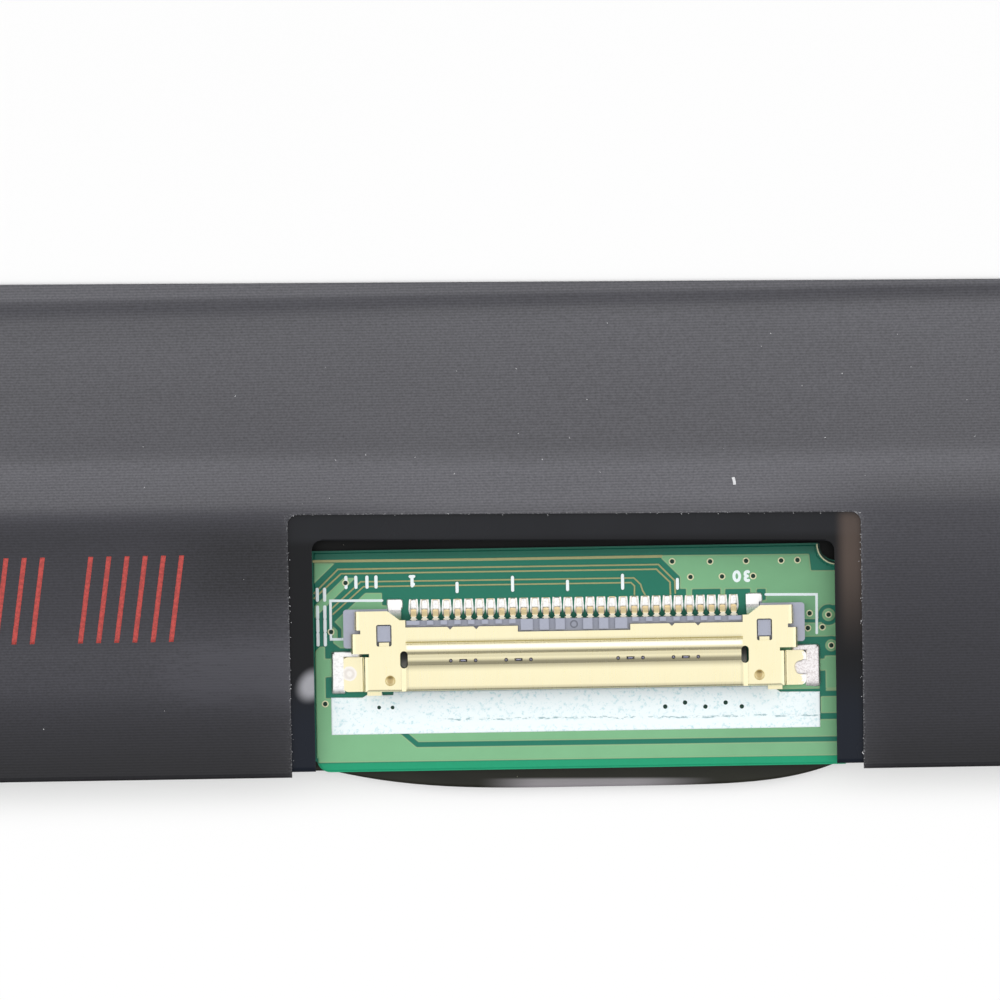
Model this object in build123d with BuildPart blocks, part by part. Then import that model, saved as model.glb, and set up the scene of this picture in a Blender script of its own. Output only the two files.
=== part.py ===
"""Rear-taped liquid-crystal panel of a laptop, with its board flap and 30-contact signal socket.

Millimetres. The panel lies on its screen: z = 0 is the front of the screen and +Z the rear.
+Y points to the panel's top edge, and the board flap lies along the lower edge.
The origin is the middle of the footprint, on the surface that the screen rests on.
"""

import math
import os

from build123d import *

# Picture area and the borders around it
view_width = 344.16
view_height = 193.59
glass_border_side = 2.12
glass_border_top = 2.10
colour_border_low = 2.00
bond_ledge = 3.40
glass_gap = 0.23
frame_wall = 0.90
bottom_wall = 2.20
frame_corner = 1.00

# Thickness of each layer, from the screen's front to the rear
polariser_thick = 0.15
glass_thick = 0.50
rim_tape_thick = 0.10
prism_thick = 0.15
diffuser_thick = 0.10
guide_thick = 0.60
adhesive_thick = 0.05
reflector_thick = 0.25
flex_thick = 0.12
film_thick = 0.06
tape_thick = 0.12
source_film_thick = 0.08

# Liquid-crystal cell
front_polariser_margin = 0.30
rear_polariser_margin = 0.60

# Backlight
guide_margin = 0.60
guide_gap = 0.10
mixing_length = 2.60
sheet_margin_low = 1.60
shelf_gap = 0.05
ear_length = 8.00
ear_reach = 0.80
ear_spacing = 120.00
rim_tape_inner_margin = 0.35
rim_tape_outer_gap = 0.25
reflector_overlap = 1.20
adhesive_inset = 0.10
led_count = 36
led_length = 3.00
led_depth = 1.00
led_gap = 0.05
flex_height = 7.50
flex_gap = 0.10
flex_side_gap = 0.80

# Moulded frame
frame_front_setback = 0.30
ridge_above_reflector = 0.05
wall_front_gap = 0.13

# Circuit board along the lower edge
board_side_gap = 42.08
board_height = 10.03
board_thick = 0.70
board_gap = 1.57
board_inset = 0.50
tab_margin = 4.13
tab_right_margin = 4.60
tab_corner = 0.65
edge_notch_radius = 0.80
edge_notch_offset = 4.32

# Source films and their driver chips
source_film_count = 4
source_film_end_margin = 3.00
source_film_width = 38.00
bond_overlap = 1.10
board_overlap = 1.30
driver_length = 20.00
driver_depth = 1.00
driver_thick = 0.35

# Signal socket: places along the board, then heights above the board
connector_edge = 55.00
contact_count = 30
contact_pitch = 0.50
contact_width = 0.20
foot_width = 0.25
contact_thick = 0.08
contact_waist = 0.17
contact_flare = 0.36
waist_reach = 0.12
shank_reach = 0.17
cover_margin = 0.37
socket_front = 3.63
cover_depth = 2.89
front_plate_depth = 1.17
bead_width = 0.50
bead_setback = 0.73
bead_rise = 0.13
crease_gap = 0.02
crease_width = 0.07
crease_depth = 0.05
step_lip = 0.07
edge_nick_places = (4.42, 5.60)
edge_nick_size = 0.18
recess_half = 2.54
recess_depth = 0.27
sheet_thick = 0.15
shell_height = 1.00
front_height = 0.84
front_edge_round = 0.12
finger_places = (2.53, 5.03)
finger_reach = 0.56
finger_lift = 0.19
finger_hole = 0.17
finger_slot_width = 0.36
finger_slot_height = 0.13
block_width = 1.93
block_depth = 3.64
shoulder_width = 0.55
shoulder_low = 1.72
shoulder_high = 2.62
shoulder_cut = 0.17
neck_width = 0.25
neck_ramp = 0.20
corner_cut_width = 0.56
corner_cut = 0.42
lug_reach = 0.95
lug_depth = 1.57
lug_corner = 0.25
bend_radius = 0.12
front_foot_width = 0.65
front_foot_reach = 0.19
leg_offset = 0.19
leg_width = 0.59
leg_reach = 0.46
window_width = 0.69
window_depth = 0.98
window_offset = 0.63
window_low = 2.05
window_corner = 0.09
tongue_width = 0.45
tongue_depth = 0.17
end_slot_width = 0.34
end_slot_depth = 0.78
end_slot_low = 1.04
dimple_radius = 0.27
dimple_depth = 0.13
dimple_offset = 0.72
dimple_low = 0.49

# Socket housing and contacts
beam_depth = 0.62
beam_reach = 0.30
beam_lift = 0.93
housing_gap = 0.03
wing_reach = 0.88
wing_depth = 1.75
wing_past_block = 0.09
tongue_front = 0.42
tongue_thick = 0.22
tongue_height = 0.27
comb_slot_width = 0.28
comb_slot_height = 0.45
peg_gap = 0.05
wing_corner = 0.14
comb_block_pitch = 0.62
comb_block_width = 0.29
comb_block_lead = 0.24
comb_block_setback = 0.08
comb_block_rise = 0.08
end_block_width = 0.59
end_block_margin = 0.02
key_places = (0.625, 1.345)
key_width = 0.42
end_key_width = 0.55
end_key_margin = 0.10
key_setback = 0.04
ejector_radius = 0.18
ejector_ring = 0.06
ejector_depth = 0.03
tail_reach = 0.94
tail_foot = 0.54
tail_rise = 0.24

# Parts soldered to the board's rear, placed from the signal socket or from the board's left end
chip_edge = 1.00
chip_height = 0.75
chip_chamfer = 0.10
timing_side = 6.00
timing_from_socket = 32.00
memory_width = 3.00
memory_depth = 2.00
memory_height = 0.55
memory_from_socket = 21.00
converter_side = 4.00
converter_from_end = 70.00
led_driver_side = 3.00
led_driver_from_end = 46.00
inductor_side = 3.00
inductor_height = 0.85
inductor_from_end = 57.00
inductor_pitch = 8.00
inductor_count = 2
inductor_corner = 0.40
capacitor_length = 1.60
capacitor_width = 0.80
capacitor_height = 0.70
capacitor_round = 0.08
capacitor_pitch = 3.60
capacitors_per_bank = 6
capacitor_bank_from_end = 14.00
capacitor_bank_from_socket = 33.00
resistor_length = 1.00
resistor_width = 0.50
resistor_height = 0.35
resistor_pitch = 2.20
resistors_per_bank = 5
resistor_bank_from_end = 14.00
resistor_bank_from_socket = 21.00
resistor_row = 3.60

# Backlight socket and the LED flex's tail
tail_from_end = 34.00
flex_tail_width = 9.00
tail_clearance = 0.30
backlight_width = 10.60
backlight_depth = 3.00
backlight_height = 0.80
backlight_edge = 1.60
tail_insert = 1.40
tail_slot_gap = 0.05
tail_lead = 0.50

# Cover tapes and insulating film
tape_past_board = 4.00
tape_skew = 0.60
tape_overlap = 0.65
tape_hang = 0.19
tape_notch_left = 5.23
tape_notch_right = 5.49
tape_notch_above = 1.22
notch_corner = 0.45
film_past_board = 3.00
film_skew = 0.95
film_notch_left = 4.08
film_notch_right = 4.25
film_notch_above = 0.30
film_rise = 0.06
film_setback = 0.10
chip_room = 0.16
fall_upper = 5.00
fall_lower = 3.40
fall_drop = 0.04
edge_height = 0.49
step_lead = 0.05
step_run = 0.65
ridge_run = 0.45
ridge_lead = 0.15
front_tape_thick = 0.10
front_tape_ledge_gap = 0.30
front_tape_side_gap = 3.33
front_band_height = 5.00
front_tape_past_board = 2.00
front_tape_setback = 0.05
tape_bulge = 0.84
bow_left = 3.48
bow_right = 4.25
bow_middle = 1.00
bow_left_entry = 4.00
bow_left_depth = 0.78
bow_left_flat = 5.00
bow_right_entry = 2.20
bow_right_depth = 0.80
bow_right_flat = 5.50

# Heights of the layers, counted from the screen's front
colour_front = polariser_thick
array_front = colour_front + glass_thick
array_rear = array_front + glass_thick
rear_polariser_rear = array_rear + polariser_thick
cell_rear = rear_polariser_rear + rim_tape_thick
prism_middle = cell_rear + prism_thick
diffuser_front = prism_middle + prism_thick
guide_front = diffuser_front + diffuser_thick
guide_rear = guide_front + guide_thick
frame_rear = guide_rear - adhesive_thick
reflector_rear = guide_rear + reflector_thick
flex_rear = guide_rear + flex_thick
ridge_rear = reflector_rear + ridge_above_reflector
shelf_rear = guide_front - shelf_gap
source_film_front = array_front - source_film_thick
wall_front = source_film_front + wall_front_gap
board_front = array_front
board_rear = board_front + board_thick

# Places across the panel
glass_half = view_width / 2 + glass_border_side
pocket_half = glass_half + glass_gap
body_half = pocket_half + frame_wall
guide_half = view_width / 2 + guide_margin
opening_half = guide_half + guide_gap
board_half = view_width / 2 - board_side_gap
connector_x = board_half - connector_edge
tail_x = tail_from_end - board_half
tape_half = board_half + tape_past_board
film_half = board_half + film_past_board
front_tape_half = board_half + front_tape_past_board

# Places up the panel, from the board's lower edge to the top edge
flap_height = board_gap + board_height
glass_height = bond_ledge + colour_border_low + view_height + glass_border_top
outline_height = flap_height + bottom_wall + glass_gap + glass_height + glass_gap + frame_wall
body_top = (outline_height + tape_bulge) / 2
board_low = body_top - outline_height
board_top = board_low + board_height
body_low = board_low + flap_height
bay_low = body_low + bottom_wall
array_low = bay_low + glass_gap
colour_low = array_low + bond_ledge
view_low = colour_low + colour_border_low
view_top = view_low + view_height
glass_top = view_top + glass_border_top
pocket_top = glass_top + glass_gap
guide_low = view_low - mixing_length
guide_top = view_top + guide_margin
opening_top = guide_top + guide_gap
sheet_low = view_low - sheet_margin_low
shelf_edge = sheet_low - guide_gap
flex_low = bay_low + flex_gap
flex_top = flex_low + flex_height
reflector_low = flex_top + flex_gap

# Places in the signal socket, from its middle and from the board's lower edge
contact_span = contact_pitch * (contact_count - 1)
cover_half = contact_span / 2 + cover_margin
cover_rear = socket_front + cover_depth
bead_rear = cover_rear - bead_setback
bead_front = bead_rear - bead_width
step_front = socket_front + front_plate_depth
block_half = cover_half + block_width
shoulder_half = block_half + shoulder_width
block_rear = socket_front + block_depth
beam_rear = cover_rear + beam_reach
beam_front = beam_rear - beam_depth
plate_under = shell_height - sheet_thick
bend_outer = bend_radius + sheet_thick

socket_plane = Plane(origin=(connector_x, board_low, board_rear))
socket_side = Plane(origin=(connector_x, board_low, board_rear), x_dir=(0, 1, 0), z_dir=(1, 0, 0))
socket_front_plane = Plane(
    origin=(connector_x, board_low + socket_front, board_rear),
    x_dir=(1, 0, 0),
    z_dir=(0, -1, 0),
)
socket_middle = Plane(origin=(connector_x, 0, 0), z_dir=(1, 0, 0))


def rectangle_between(left, right, low, high, mode=Mode.ADD):
    """A rectangle given by its four sides."""
    with Locations(((left + right) / 2, (low + high) / 2)):
        Rectangle(right - left, high - low, mode=mode)


# Liquid-crystal cell
with BuildPart() as front_polariser:
    with BuildSketch():
        margin = front_polariser_margin
        rectangle_between(margin - glass_half, glass_half - margin, colour_low + margin, glass_top - margin)
    extrude(amount=polariser_thick)

with BuildPart() as colour_filter_glass:
    with BuildSketch(Plane.XY.offset(colour_front)):
        rectangle_between(-glass_half, glass_half, colour_low, glass_top)
    extrude(amount=glass_thick)

with BuildPart() as array_glass:
    with BuildSketch(Plane.XY.offset(array_front)):
        rectangle_between(-glass_half, glass_half, array_low, glass_top)
    extrude(amount=glass_thick)

with BuildPart() as rear_polariser:
    with BuildSketch(Plane.XY.offset(array_rear)):
        margin = rear_polariser_margin
        rectangle_between(margin - glass_half, glass_half - margin, array_low + margin, glass_top - margin)
    extrude(amount=polariser_thick)

with BuildPart() as rim_tape:
    with BuildSketch(Plane.XY.offset(rear_polariser_rear)):
        outer = pocket_half - rim_tape_outer_gap
        inner = view_width / 2 + rim_tape_inner_margin
        rectangle_between(-outer, outer, bay_low + rim_tape_outer_gap, pocket_top - rim_tape_outer_gap)
        rectangle_between(
            -inner,
            inner,
            view_low - rim_tape_inner_margin,
            view_top + rim_tape_inner_margin,
            mode=Mode.SUBTRACT,
        )
    extrude(amount=rim_tape_thick)

# Optical sheets and light guide
with BuildPart() as prism_sheet_upper:
    with BuildSketch(Plane.XY.offset(cell_rear)):
        rectangle_between(-guide_half, guide_half, sheet_low, guide_top)
    extrude(amount=prism_thick)

with BuildPart() as prism_sheet_lower:
    with BuildSketch(Plane.XY.offset(prism_middle)):
        rectangle_between(-guide_half, guide_half, sheet_low, guide_top)
    extrude(amount=prism_thick)

with BuildPart() as diffuser_sheet:
    with BuildSketch(Plane.XY.offset(diffuser_front)):
        rectangle_between(-guide_half, guide_half, sheet_low, guide_top)
    extrude(amount=diffuser_thick)


def ear_rows():
    """Middles of the light guide's two ears, up each side."""
    middle = (view_low + view_top) / 2
    return (middle - ear_spacing / 2, middle + ear_spacing / 2)


with BuildPart() as light_guide_plate:
    with BuildSketch(Plane.XY.offset(guide_front)):
        rectangle_between(-guide_half, guide_half, guide_low, guide_top)
        for row in ear_rows():
            with Locations((0, row)):
                Rectangle(2 * (guide_half + ear_reach), ear_length)
    extrude(amount=guide_thick)

# LEDs on their flex, whose tail crosses the frame into the backlight socket
led_pitch = 2 * (opening_half - flex_side_gap) / led_count
led_middle = guide_low - led_gap - led_depth / 2

with BuildPart() as leds:
    with BuildSketch(Plane.XY.offset(guide_front)):
        with Locations((0, led_middle)):
            with GridLocations(led_pitch, 1, led_count, 1):
                Rectangle(led_length, led_depth)
    extrude(amount=guide_thick)

backlight_top = board_top - backlight_edge
tail_level = board_rear + backlight_height / 2 - flex_thick / 2
tail_points = (
    (flex_low + flex_gap, guide_rear),
    (body_low - tail_lead, guide_rear),
    (backlight_top + tail_lead, tail_level),
    (backlight_top - tail_insert, tail_level),
)

with BuildPart() as led_flex:
    with BuildSketch(Plane.XY.offset(guide_rear)):
        rectangle_between(flex_side_gap - opening_half, opening_half - flex_side_gap, flex_low, flex_top)
    extrude(amount=flex_thick)
    with BuildSketch(Plane.YZ.offset(tail_x)):
        with BuildLine():
            lower = Polyline(*tail_points)
            upper = Polyline(*[(y, z + flex_thick) for y, z in tail_points])
            Line(lower @ 0, upper @ 0)
            Line(lower @ 1, upper @ 1)
        make_face()
    extrude(amount=flex_tail_width / 2, both=True)

# White reflector at the rear of the light guide, and the adhesive that holds it to the frame
reflector_half = opening_half + reflector_overlap
reflector_top = opening_top + reflector_overlap

with BuildPart() as reflector_sheet:
    with BuildSketch(Plane.XY.offset(guide_rear)):
        rectangle_between(-reflector_half, reflector_half, reflector_low, reflector_top)
    extrude(amount=reflector_thick)

with BuildPart() as reflector_adhesive:
    with BuildSketch(Plane.XY.offset(frame_rear)):
        outer = reflector_half - adhesive_inset
        inner = opening_half + adhesive_inset
        rectangle_between(-outer, outer, reflector_low, reflector_top - adhesive_inset)
        rectangle_between(-inner, inner, reflector_low, opening_top + adhesive_inset, mode=Mode.SUBTRACT)
        for row in ear_rows():
            with Locations((0, row)):
                Rectangle(2 * body_half, ear_length + 2 * guide_gap, mode=Mode.SUBTRACT)
    extrude(amount=adhesive_thick)

# Moulded frame: four walls, a ledge round the light guide, a shelf over the LEDs and a ridge at the flap
with BuildPart() as mould_frame:
    with BuildSketch(Plane.XY.offset(frame_front_setback)):
        with Locations((0, (body_low + body_top) / 2)):
            RectangleRounded(2 * body_half, body_top - body_low, frame_corner)
    extrude(amount=frame_rear - frame_front_setback)
    with BuildSketch(Plane.XY.offset(frame_rear)):
        rectangle_between(frame_corner - body_half, body_half - frame_corner, body_low, bay_low)
    extrude(amount=ridge_rear - frame_rear)
    with BuildSketch(Plane.XY):
        rectangle_between(-pocket_half, pocket_half, bay_low, pocket_top)
    extrude(amount=cell_rear, mode=Mode.SUBTRACT)
    with BuildSketch(Plane.XY):
        rectangle_between(-pocket_half, pocket_half, body_low, bay_low)
    extrude(amount=wall_front, mode=Mode.SUBTRACT)
    with BuildSketch(Plane.XY):
        rectangle_between(-opening_half, opening_half, shelf_edge, opening_top)
    extrude(amount=ridge_rear, mode=Mode.SUBTRACT)
    with BuildSketch(Plane.XY.offset(shelf_rear)):
        rectangle_between(-opening_half, opening_half, bay_low, shelf_edge)
        for row in ear_rows():
            with Locations((0, row)):
                Rectangle(2 * (guide_half + ear_reach + guide_gap), ear_length + 2 * guide_gap)
    extrude(amount=ridge_rear - shelf_rear, mode=Mode.SUBTRACT)
    with BuildSketch(Plane.XY.offset(guide_rear)):
        with Locations((tail_x, (body_low + bay_low) / 2)):
            Rectangle(flex_tail_width + 2 * tail_clearance, bottom_wall)
    extrude(amount=ridge_rear - guide_rear, mode=Mode.SUBTRACT)

# Circuit board, with a tab under the socket and a half-round plated notch in its upper edge
tab_half = cover_half + tab_margin
tab_right = cover_half + tab_right_margin

with BuildPart() as circuit_board:
    with BuildSketch(Plane.XY.offset(board_front)):
        rectangle_between(-board_half, board_half, board_low + board_inset, board_top)
        with Locations((connector_x, board_low + board_height / 2)):
            RectangleRounded(2 * tab_half, board_height, tab_corner)
        rectangle_between(connector_x, connector_x + tab_right, board_low, board_top)
        with Locations((connector_x + cover_half + edge_notch_offset, board_top)):
            Circle(edge_notch_radius, mode=Mode.SUBTRACT)
    extrude(amount=board_thick)

# Signal socket's folded shell: the left half is drawn, then mirrored
step_arc_drop = 0.30 * (shell_height - front_height - step_lip)
step_arc_place = 0.65 * (bead_front - step_front)
crease_front = bead_rear + crease_gap


def cover_line(drop):
    """One face of the cover's sheet, from its rear edge over the bead and the lip to its front rounding."""
    rear = shell_height - drop
    front = front_height - drop
    bead_middle = (bead_rear + bead_front) / 2
    Line((cover_rear, rear), (bead_rear, rear))
    ThreePointArc((bead_rear, rear), (bead_middle, rear + bead_rise), (bead_front, rear))
    step_point = (bead_front - step_arc_place, rear - step_arc_drop)
    lip_place = step_front + drop / 2
    ThreePointArc((bead_front, rear), step_point, (lip_place, front + step_lip))
    Polyline((lip_place, front + step_lip), (lip_place, front), (socket_front + front_edge_round, front))


with BuildPart() as connector_shell:
    # Cover over the contacts, with a crease behind its bead and a lower front plate with a rounded edge
    with BuildSketch(socket_side.offset(-cover_half)):
        with BuildLine():
            cover_line(0)
            cover_line(sheet_thick)
            Line((cover_rear, shell_height), (cover_rear, plate_under))
            front_under = front_height - sheet_thick
            round_middle = (socket_front + front_edge_round, front_height - front_edge_round)
            CenterArc(round_middle, front_edge_round, 90, 90)
            edge_side = (socket_front, round_middle[1])
            Polyline(edge_side, (socket_front, front_under), (round_middle[0], front_under))
        make_face()
    extrude(amount=cover_half)
    with BuildSketch(socket_side.offset(-cover_half)):
        with BuildLine():
            Polyline(
                (crease_front, shell_height),
                (crease_front + crease_width / 2, shell_height - crease_depth),
                (crease_front + crease_width, shell_height),
                close=True,
            )
        make_face()
    extrude(amount=cover_half, mode=Mode.SUBTRACT)
    with BuildSketch(socket_plane):
        rectangle_between(-recess_half, recess_half, cover_rear - recess_depth, cover_rear)
    extrude(amount=shell_height, mode=Mode.SUBTRACT)
    with BuildSketch(socket_plane.offset(plate_under)):
        for place in edge_nick_places:
            with Locations((-place, cover_rear)):
                Rectangle(edge_nick_size, edge_nick_size, rotation=45)
    extrude(amount=sheet_thick, mode=Mode.SUBTRACT)
    with BuildSketch(socket_plane):
        for place in finger_places:
            with Locations((-place, step_front + finger_lift)):
                Rectangle(finger_slot_width, finger_slot_height)
                with GridLocations(2 * finger_reach, 1, 2, 1):
                    Circle(finger_hole / 2)
    extrude(amount=shell_height + bead_rise, mode=Mode.SUBTRACT)

    # End block's roof, with its shoulder, its cut corner and the neck and ramp that join the cover
    with BuildSketch(socket_plane.offset(plate_under)):
        with BuildLine():
            shoulder_level = socket_front + shoulder_low
            nick_level = socket_front + shoulder_high
            upper_half = shoulder_half - shoulder_cut
            neck_half = cover_half + neck_width
            ramp_half = cover_half + neck_ramp
            Polyline(
                (-ramp_half, socket_front),
                (bend_outer - block_half, socket_front),
                (bend_outer - block_half, shoulder_level),
                (bend_outer - shoulder_half, shoulder_level),
                (bend_outer - shoulder_half, nick_level),
                (bend_outer - upper_half, nick_level),
                (bend_outer - upper_half, block_rear),
                (-neck_half - corner_cut_width, block_rear),
                (-neck_half, block_rear - corner_cut),
                (-cover_half, block_rear - corner_cut),
                (-cover_half, step_front),
                (-ramp_half, step_front),
                close=True,
            )
        make_face()
    extrude(amount=sheet_thick)
    with BuildSketch(socket_front_plane):
        with BuildLine():
            Polyline(
                (-ramp_half, shell_height),
                (-cover_half, front_height),
                (-cover_half, front_under),
                (-ramp_half, plate_under),
                close=True,
            )
        make_face()
    extrude(amount=-front_plate_depth)

    # Roof's outer edges, each turned down through a quarter bend, with a nick between them
    for edge, low, high in (
        (shoulder_half, shoulder_level, nick_level),
        (upper_half, nick_level + shoulder_cut, block_rear),
    ):
        edge_bend = (bend_outer - edge, shell_height - bend_outer)
        with BuildSketch(socket_front_plane.offset(socket_front - low)):
            with BuildLine():
                CenterArc(edge_bend, bend_outer, 90, 90)
                Line((-edge, edge_bend[1]), (sheet_thick - edge, edge_bend[1]))
                CenterArc(edge_bend, bend_radius, 90, 90)
                Line((edge_bend[0], plate_under), (edge_bend[0], shell_height))
            make_face()
        extrude(amount=low - high)

    # Side wall, bent down from the roof and out again to the solder lug, and the block's rounded front edge
    wall_inner = sheet_thick - block_half
    lug_end = -block_half - lug_reach
    roof_bend = (bend_outer - block_half, shell_height - bend_outer)
    lug_bend = (-block_half - bend_radius, bend_outer)
    with BuildSketch(socket_front_plane):
        with BuildLine():
            Line((roof_bend[0], plate_under), (roof_bend[0], shell_height))
            CenterArc(roof_bend, bend_outer, 90, 90)
            Line((-block_half, roof_bend[1]), (-block_half, lug_bend[1]))
            CenterArc(lug_bend, bend_radius, 270, 90)
            Line((lug_bend[0], sheet_thick), (lug_end, sheet_thick))
            Line((lug_end, sheet_thick), (lug_end, 0))
            Line((lug_end, 0), (lug_bend[0], 0))
            CenterArc(lug_bend, bend_outer, 270, 90)
            Line((wall_inner, lug_bend[1]), (wall_inner, roof_bend[1]))
            CenterArc(roof_bend, bend_radius, 90, 90)
        make_face()
    extrude(amount=-lug_depth)
    lug_corners = connector_shell.edges().filter_by(Axis.Z).group_by(Axis.X)[0]
    fillet(lug_corners, lug_corner)
    with BuildSketch(socket_side.offset(-block_half)):
        with BuildLine():
            block_round = (socket_front + front_edge_round, shell_height - front_edge_round)
            CenterArc(block_round, front_edge_round, 90, 90)
            block_corner = (socket_front, shell_height)
            Polyline((socket_front, block_round[1]), block_corner, (block_round[0], shell_height))
        make_face()
    extrude(amount=block_half - ramp_half, mode=Mode.SUBTRACT)

    # Small foot under the front edge
    with BuildSketch(socket_plane):
        rectangle_between(wall_inner, wall_inner + front_foot_width, socket_front, socket_front + sheet_thick)
    extrude(amount=plate_under)
    with BuildSketch(socket_plane):
        foot_front = socket_front - front_foot_reach
        rectangle_between(wall_inner, wall_inner + front_foot_width, foot_front, socket_front)
    extrude(amount=sheet_thick)

    # Rear leg: a strip bent down from the roof to the board
    with BuildSketch(socket_side.offset(-cover_half - leg_offset - leg_width)):
        with BuildLine():
            leg_top = block_rear - corner_cut
            leg_bend = leg_top + leg_reach
            leg_end = leg_bend + leg_reach
            Polyline(
                (leg_top - sheet_thick, plate_under),
                (leg_top, plate_under),
                (leg_bend, sheet_thick),
                (leg_end, sheet_thick),
                (leg_end, 0),
                (leg_bend - sheet_thick / 2, 0),
                (leg_top - sheet_thick, plate_under - sheet_thick),
                close=True,
            )
        make_face()
    extrude(amount=leg_width)

    # Window with its tongue, end slot and dimple
    window_middle = cover_half + window_offset + window_width / 2
    window_front = socket_front + window_low
    with BuildSketch(socket_plane.offset(plate_under)):
        with Locations((-window_middle, window_front + window_depth / 2)):
            RectangleRounded(window_width, window_depth, window_corner)
        with Locations((-cover_half - end_slot_width / 4, socket_front + end_slot_low + end_slot_depth / 2)):
            SlotOverall(end_slot_depth, end_slot_width, rotation=90)
    extrude(amount=2 * sheet_thick, both=True, mode=Mode.SUBTRACT)
    with BuildSketch(socket_plane.offset(plate_under - sheet_thick)):
        with Locations((-window_middle, window_front)):
            Rectangle(tongue_width, 2 * tongue_depth)
    extrude(amount=sheet_thick)
    dimple_lift = dimple_radius - dimple_depth
    with Locations(socket_plane.offset(shell_height + dimple_lift)):
        with Locations((-cover_half - dimple_offset, socket_front + dimple_low)):
            Sphere(dimple_radius, mode=Mode.SUBTRACT)
    mirror(about=socket_middle)

# Socket housing: a comb beam with raised blocks, a contact tongue and a wing under each end block
wing_half = block_half + wing_reach
wing_rear = block_rear + wing_past_block
wing_inner = cover_half + leg_offset + leg_width + housing_gap
bridge_half = cover_half + cover_margin / 2
bridge_rear = block_rear - corner_cut - sheet_thick - 2 * housing_gap
tongue_half = contact_span / 2 + comb_slot_width

with BuildPart() as connector_housing:
    # Beam, raised behind the cover's rear edge
    with BuildSketch(socket_plane):
        rectangle_between(-bridge_half, bridge_half, beam_front, beam_rear)
    extrude(amount=plate_under - housing_gap)
    with BuildSketch(socket_plane.offset(plate_under - housing_gap)):
        strip_half = cover_half - housing_gap
        rectangle_between(-strip_half, strip_half, cover_rear + housing_gap, beam_rear)
        recess_rear = cover_rear - recess_depth + housing_gap
        recess_inner = recess_half - housing_gap
        rectangle_between(-recess_inner, recess_inner, recess_rear, beam_rear)
    strip_top = beam_lift - comb_block_rise
    extrude(amount=strip_top - plate_under + housing_gap)

    # Raised blocks along the beam: like blocks and a long end one beside the recess, wide keys within it
    comb_front = cover_rear + housing_gap + comb_block_setback
    end_block_outer = strip_half - end_block_margin
    comb_run = end_block_outer - end_block_width - recess_half - comb_block_lead
    key_front = recess_rear + key_setback
    end_key_outer = recess_inner - end_key_margin
    with BuildSketch(socket_plane.offset(strip_top)):
        for number in range(1 + int(comb_run / comb_block_pitch)):
            block_left = recess_half + comb_block_lead - comb_block_width / 2 + number * comb_block_pitch
            rectangle_between(block_left, block_left + comb_block_width, comb_front, beam_rear)
        rectangle_between(end_block_outer - end_block_width, end_block_outer, comb_front, beam_rear)
        for place in key_places:
            rectangle_between(place - key_width / 2, place + key_width / 2, key_front, beam_rear)
        rectangle_between(end_key_outer - end_key_width, end_key_outer, key_front, beam_rear)
        mirror(about=Plane.YZ)
    extrude(amount=comb_block_rise)
    with BuildSketch(socket_plane.offset(strip_top)):
        with Locations((0, (recess_rear + beam_rear) / 2)):
            Circle(ejector_radius)
            Circle(ejector_radius - ejector_ring, mode=Mode.SUBTRACT)
    extrude(amount=-ejector_depth, mode=Mode.SUBTRACT)

    # Wings and their bridges to the beam, with a peg up into each window
    wing_front = wing_rear - wing_depth
    with BuildSketch(socket_plane):
        rectangle_between(-wing_half, -wing_inner, wing_front, wing_rear)
        rectangle_between(wing_inner, wing_half, wing_front, wing_rear)
        rectangle_between(-wing_inner, -bridge_half, wing_front, bridge_rear)
        rectangle_between(bridge_half, wing_inner, wing_front, bridge_rear)
    extrude(amount=plate_under - sheet_thick - housing_gap)
    wing_columns = connector_housing.edges().filter_by(Axis.Z).group_by(Axis.X)
    fillet(wing_columns[0] + wing_columns[-1], wing_corner)
    peg_front = window_front + tongue_depth + peg_gap
    peg_rear = window_front + window_depth - peg_gap
    with BuildSketch(socket_plane):
        with Locations((0, (peg_front + peg_rear) / 2)):
            with GridLocations(2 * window_middle, 1, 2, 1):
                Rectangle(window_width - 2 * peg_gap, peg_rear - peg_front)
    extrude(amount=beam_lift)

    # Contact tongue under the cover, and the comb of slots that the contacts come through
    with BuildSketch(socket_plane.offset(tongue_height - tongue_thick)):
        rectangle_between(-tongue_half, tongue_half, socket_front + tongue_front, beam_front)
    extrude(amount=tongue_thick)
    with BuildSketch(socket_plane):
        with Locations((0, (beam_front + beam_rear) / 2)):
            with GridLocations(contact_pitch, 1, contact_count, 1):
                Rectangle(comb_slot_width, beam_depth)
    extrude(amount=comb_slot_height, mode=Mode.SUBTRACT)

# Contacts: a blade on the tongue that passes the comb, flares behind it and bends down to a solder foot
tail_end = beam_rear + tail_reach
foot_front = tail_end - tail_foot
bend_front = foot_front - tail_rise
blade_front = socket_front + tongue_front + contact_thick
blade_top = tongue_height + contact_thick
flare_front = beam_rear + housing_gap

with BuildPart() as contact:
    with BuildSketch(socket_side):
        with BuildLine():
            Polyline(
                (tail_end, 0),
                (foot_front, 0),
                (bend_front, tongue_height),
                (blade_front, tongue_height),
                (blade_front, blade_top),
                (bend_front + contact_thick / 2, blade_top),
                (foot_front + contact_thick / 2, contact_thick),
                (tail_end, contact_thick),
                close=True,
            )
        make_face()
    extrude(amount=contact_flare / 2, both=True)
    with BuildSketch(socket_plane):
        with BuildLine():
            Polyline(
                (0, blade_front),
                (contact_width / 2, blade_front),
                (contact_width / 2, flare_front),
                (contact_flare / 2, flare_front),
                (contact_waist / 2, beam_rear + waist_reach),
                (foot_width / 2, beam_rear + shank_reach),
                (foot_width / 2, tail_end),
                (0, tail_end),
            )
            mirror(about=Plane.YZ)
        make_face()
    extrude(amount=blade_top, mode=Mode.INTERSECT)

with BuildPart() as connector_contacts:
    with GridLocations(contact_pitch, 1, contact_count, 1):
        add(contact.part)

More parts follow.
